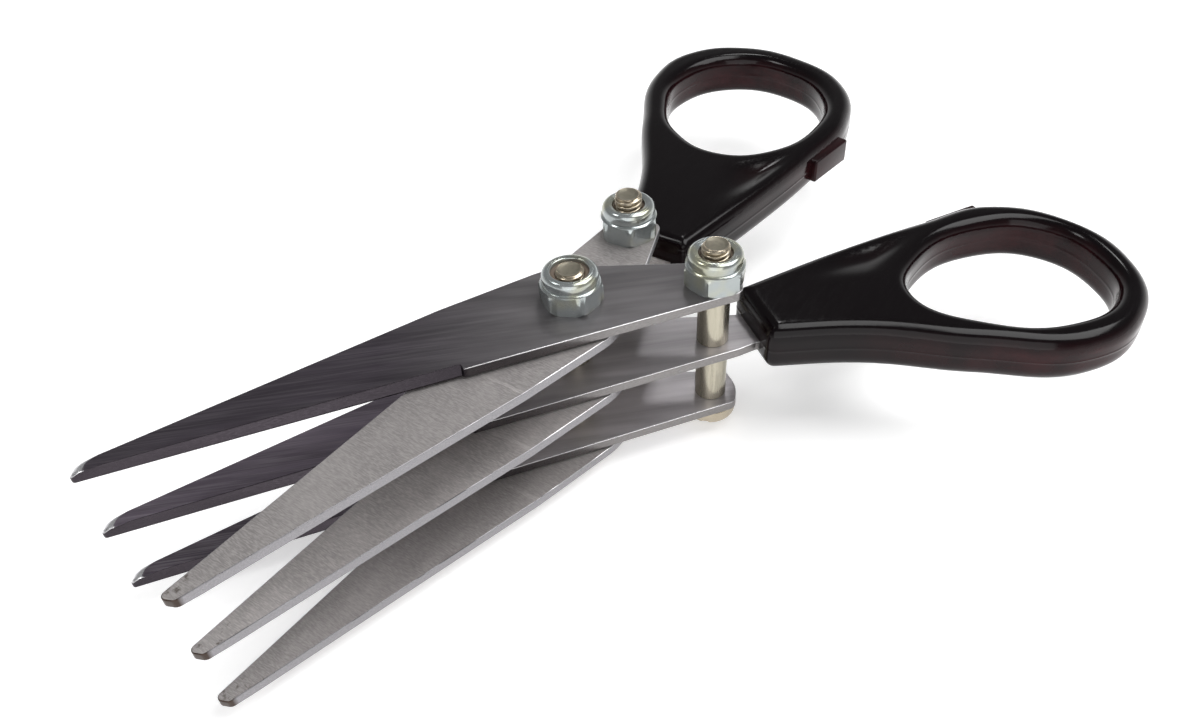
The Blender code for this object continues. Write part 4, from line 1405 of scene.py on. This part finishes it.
class SCISSORS_OT_nuts(bpy.types.Operator):
    """Builds the lock nuts and the locking rings in them"""
    bl_idname = "scissors.nuts"
    bl_label = "Nuts"

    def execute(self, context):
        sizes = context.scene.scissors_fasteners
        zinc = plated_metal("bright_zinc_plate", sizes.zinc, linear("#c0bb92"),
                            roughness=0.17, patch=3.2 * MM, metallic=0.75, marked=0.12)
        ring = tube_tree("Locking Ring", natural_nylon("natural_nylon", sizes.nylon))
        for stack in STACKS:
            make_nut(stack, sizes, zinc)
            make_tube(stack, stack.fasteners.format("nut_insert"), sizes, ring, sizes.thread, sizes.ring_wall,
                      0.0, "insert_nylon")
        return {"FINISHED"}


class SCISSORS_OT_spacers(bpy.types.Operator):
    """Builds the spacer tubes between the layers of blades"""
    bl_idname = "scissors.spacers"
    bl_label = "Spacers"

    def execute(self, context):
        sizes = context.scene.scissors_fasteners
        hole = context.scene.scissors_blades.hole
        spacer = tube_tree("Spacer Tube", drawn_tube_nickel("drawn_nickel_tube", sizes.nickel))
        for stack in STACKS:
            for level in ("lower", "upper"):
                make_tube(stack, stack.spacers.format(level), sizes, spacer, hole, sizes.spacer_wall,
                          2 * sizes.seat, "spacer_nickel")
        return {"FINISHED"}


class SCISSORS_OT_stage(bpy.types.Operator):
    """Builds the floor, the sky, the lights and the camera"""
    bl_idname = "scissors.stage"
    bl_label = "Stage"

    def execute(self, context):
        sizes = context.scene.scissors_stage
        make_floor(sizes)
        make_sky(sizes)
        make_lights(sizes)
        make_camera()
        context.scene.view_settings.view_transform = "Standard"
        return {"FINISHED"}


def make_floor(sizes):
    """A wide white floor, which the camera and mirrors see as paper white outside the object's shadow."""
    material, tree = new_surface("matt_white_paper")
    paper = add_node(tree, "ShaderNodeBsdfDiffuse", {"Color": sizes.floor}).outputs[0]
    seen = add_node(tree, "ShaderNodeLightPath").outputs
    mirrored = add_node(tree, "ShaderNodeMath", (seen["Is Camera Ray"], seen["Is Glossy Ray"]),
                        operation="MAXIMUM").outputs[0]
    passed = add_node(tree, "ShaderNodeMath", (mirrored, seen["Is Transmission Ray"]),
                      operation="MAXIMUM").outputs[0]
    spot = add_node(tree, "ShaderNodeTexCoord").outputs["Object"]
    away = add_node(tree, "ShaderNodeVectorMath", (spot,), operation="LENGTH").outputs["Value"]
    glow = add_node(tree, "ShaderNodeMapRange", (away, *GLOW_RANGE, sizes.glow, 1.0)).outputs[0]
    level = add_node(tree, "ShaderNodeMath", (passed, glow), operation="MULTIPLY").outputs[0]
    light = add_node(tree, "ShaderNodeEmission", {"Strength": level}).outputs[0]
    both = add_node(tree, "ShaderNodeAddShader", (paper, light)).outputs[0]
    add_node(tree, "ShaderNodeOutputMaterial", {"Surface": both})
    form = bmesh.new()
    bmesh.ops.create_grid(form, x_segments=1, y_segments=1, size=FLOOR_REACH)
    floor = from_bmesh("floor", form, material)
    floor.location.z = CAD_BOUNDS[0][2] - FLOOR_GAP


def make_sky(sizes):
    """White towards the horizon and dimmer overhead; the camera sees it as plain white."""
    world = bpy.data.worlds.new("studio_sky")
    bpy.context.scene.world = world
    world.use_nodes = True
    tree = world.node_tree
    tree.nodes.clear()
    direction = add_node(tree, "ShaderNodeTexCoord").outputs["Generated"]
    height = add_node(tree, "ShaderNodeSeparateXYZ", (direction,)).outputs[2]
    strength = add_node(tree, "ShaderNodeMapRange", (height, 0.05, 0.40, 1.0, sizes.fill)).outputs[0]
    seen = add_node(tree, "ShaderNodeLightPath").outputs["Is Camera Ray"]
    level = add_node(tree, "ShaderNodeMath", (strength, seen), operation="MAXIMUM").outputs[0]
    sky = add_node(tree, "ShaderNodeBackground", {"Color": linear("#ffffff"), "Strength": level})
    add_node(tree, "ShaderNodeOutputWorld", {"Surface": sky.outputs[0]})


def make_lights(sizes):
    """Soft boxes overhead, behind, on the left and beside the camera."""
    for name, power_name, size, spot, aim in LAMPS:
        lamp = bpy.data.lights.new(name, "AREA")
        lamp.energy = getattr(sizes, power_name)
        lamp.shape = "SQUARE"
        lamp.size = size
        item = bpy.data.objects.new(name, lamp)
        bpy.context.collection.objects.link(item)
        item.location = spot
        item.rotation_euler = (Vector(aim) - Vector(spot)).to_track_quat("-Z", "Y").to_euler()


def make_camera():
    """The photograph's camera: 45 degrees down over the thumb handle's side."""
    image_width, image_height = 1200, 725
    focal_px, centre_x_px, centre_y_px = 1058.6, 611.5, 437.9
    yaw, pitch, roll = math.radians(234.02), math.radians(45.15), math.radians(2.79)
    spot = (62.93 * MM, 94.20 * MM, 112.8 * MM)
    forward = Vector((math.cos(pitch) * math.cos(yaw), math.cos(pitch) * math.sin(yaw), -math.sin(pitch)))
    right = Vector((math.sin(yaw), -math.cos(yaw), 0))
    down = forward.cross(right)
    turned_right = math.cos(roll) * right + math.sin(roll) * down
    turned_down = -math.sin(roll) * right + math.cos(roll) * down
    basis = Matrix((turned_right, -turned_down, -forward)).transposed().to_4x4()
    lens = bpy.data.cameras.new("photo_camera")
    lens.sensor_width = 36
    lens.lens = focal_px / image_width * lens.sensor_width
    lens.shift_x = -(centre_x_px - image_width / 2) / image_width
    lens.shift_y = (centre_y_px - image_height / 2) / image_width
    lens.clip_start = 5 * MM
    camera = bpy.data.objects.new("photo_camera", lens)
    bpy.context.collection.objects.link(camera)
    camera.matrix_world = Matrix.Translation(spot) @ basis
    bpy.context.scene.camera = camera


class SCISSORS_PT_panel(bpy.types.Panel):
    """Lists the steps that build the scissors"""
    bl_idname = "SCISSORS_PT_panel"
    bl_label = "Herb Scissors"
    bl_space_type = "VIEW_3D"
    bl_region_type = "UI"
    bl_category = "Scissors"

    def draw(self, context):
        for step in STEPS:
            self.layout.operator(step.bl_idname)
        for group in GROUPS:
            sizes = getattr(context.scene, group)
            for name in GROUPS[group].__annotations__:
                self.layout.prop(sizes, name)


GROUPS = {
    "scissors_blades": ScissorsBlades,
    "scissors_handles": ScissorsHandles,
    "scissors_fasteners": ScissorsFasteners,
    "scissors_stage": ScissorsStage,
}
STEPS = (SCISSORS_OT_stage, SCISSORS_OT_blades, SCISSORS_OT_handles, SCISSORS_OT_bolts, SCISSORS_OT_nuts,
         SCISSORS_OT_spacers)


def register():
    for group, kind in GROUPS.items():
        bpy.utils.register_class(kind)
        setattr(bpy.types.Scene, group, PointerProperty(type=kind))
    for kind in STEPS + (SCISSORS_PT_panel,):
        bpy.utils.register_class(kind)


def unregister():
    for kind in (SCISSORS_PT_panel,) + STEPS:
        bpy.utils.unregister_class(kind)
    for group, kind in GROUPS.items():
        delattr(bpy.types.Scene, group)
        bpy.utils.unregister_class(kind)


def main():
    register()
    bpy.ops.scissors.stage()
    bpy.ops.scissors.blades()
    bpy.ops.scissors.handles()
    bpy.ops.scissors.bolts()
    bpy.ops.scissors.nuts()
    bpy.ops.scissors.spacers()


if __name__ == "__main__":
    main()
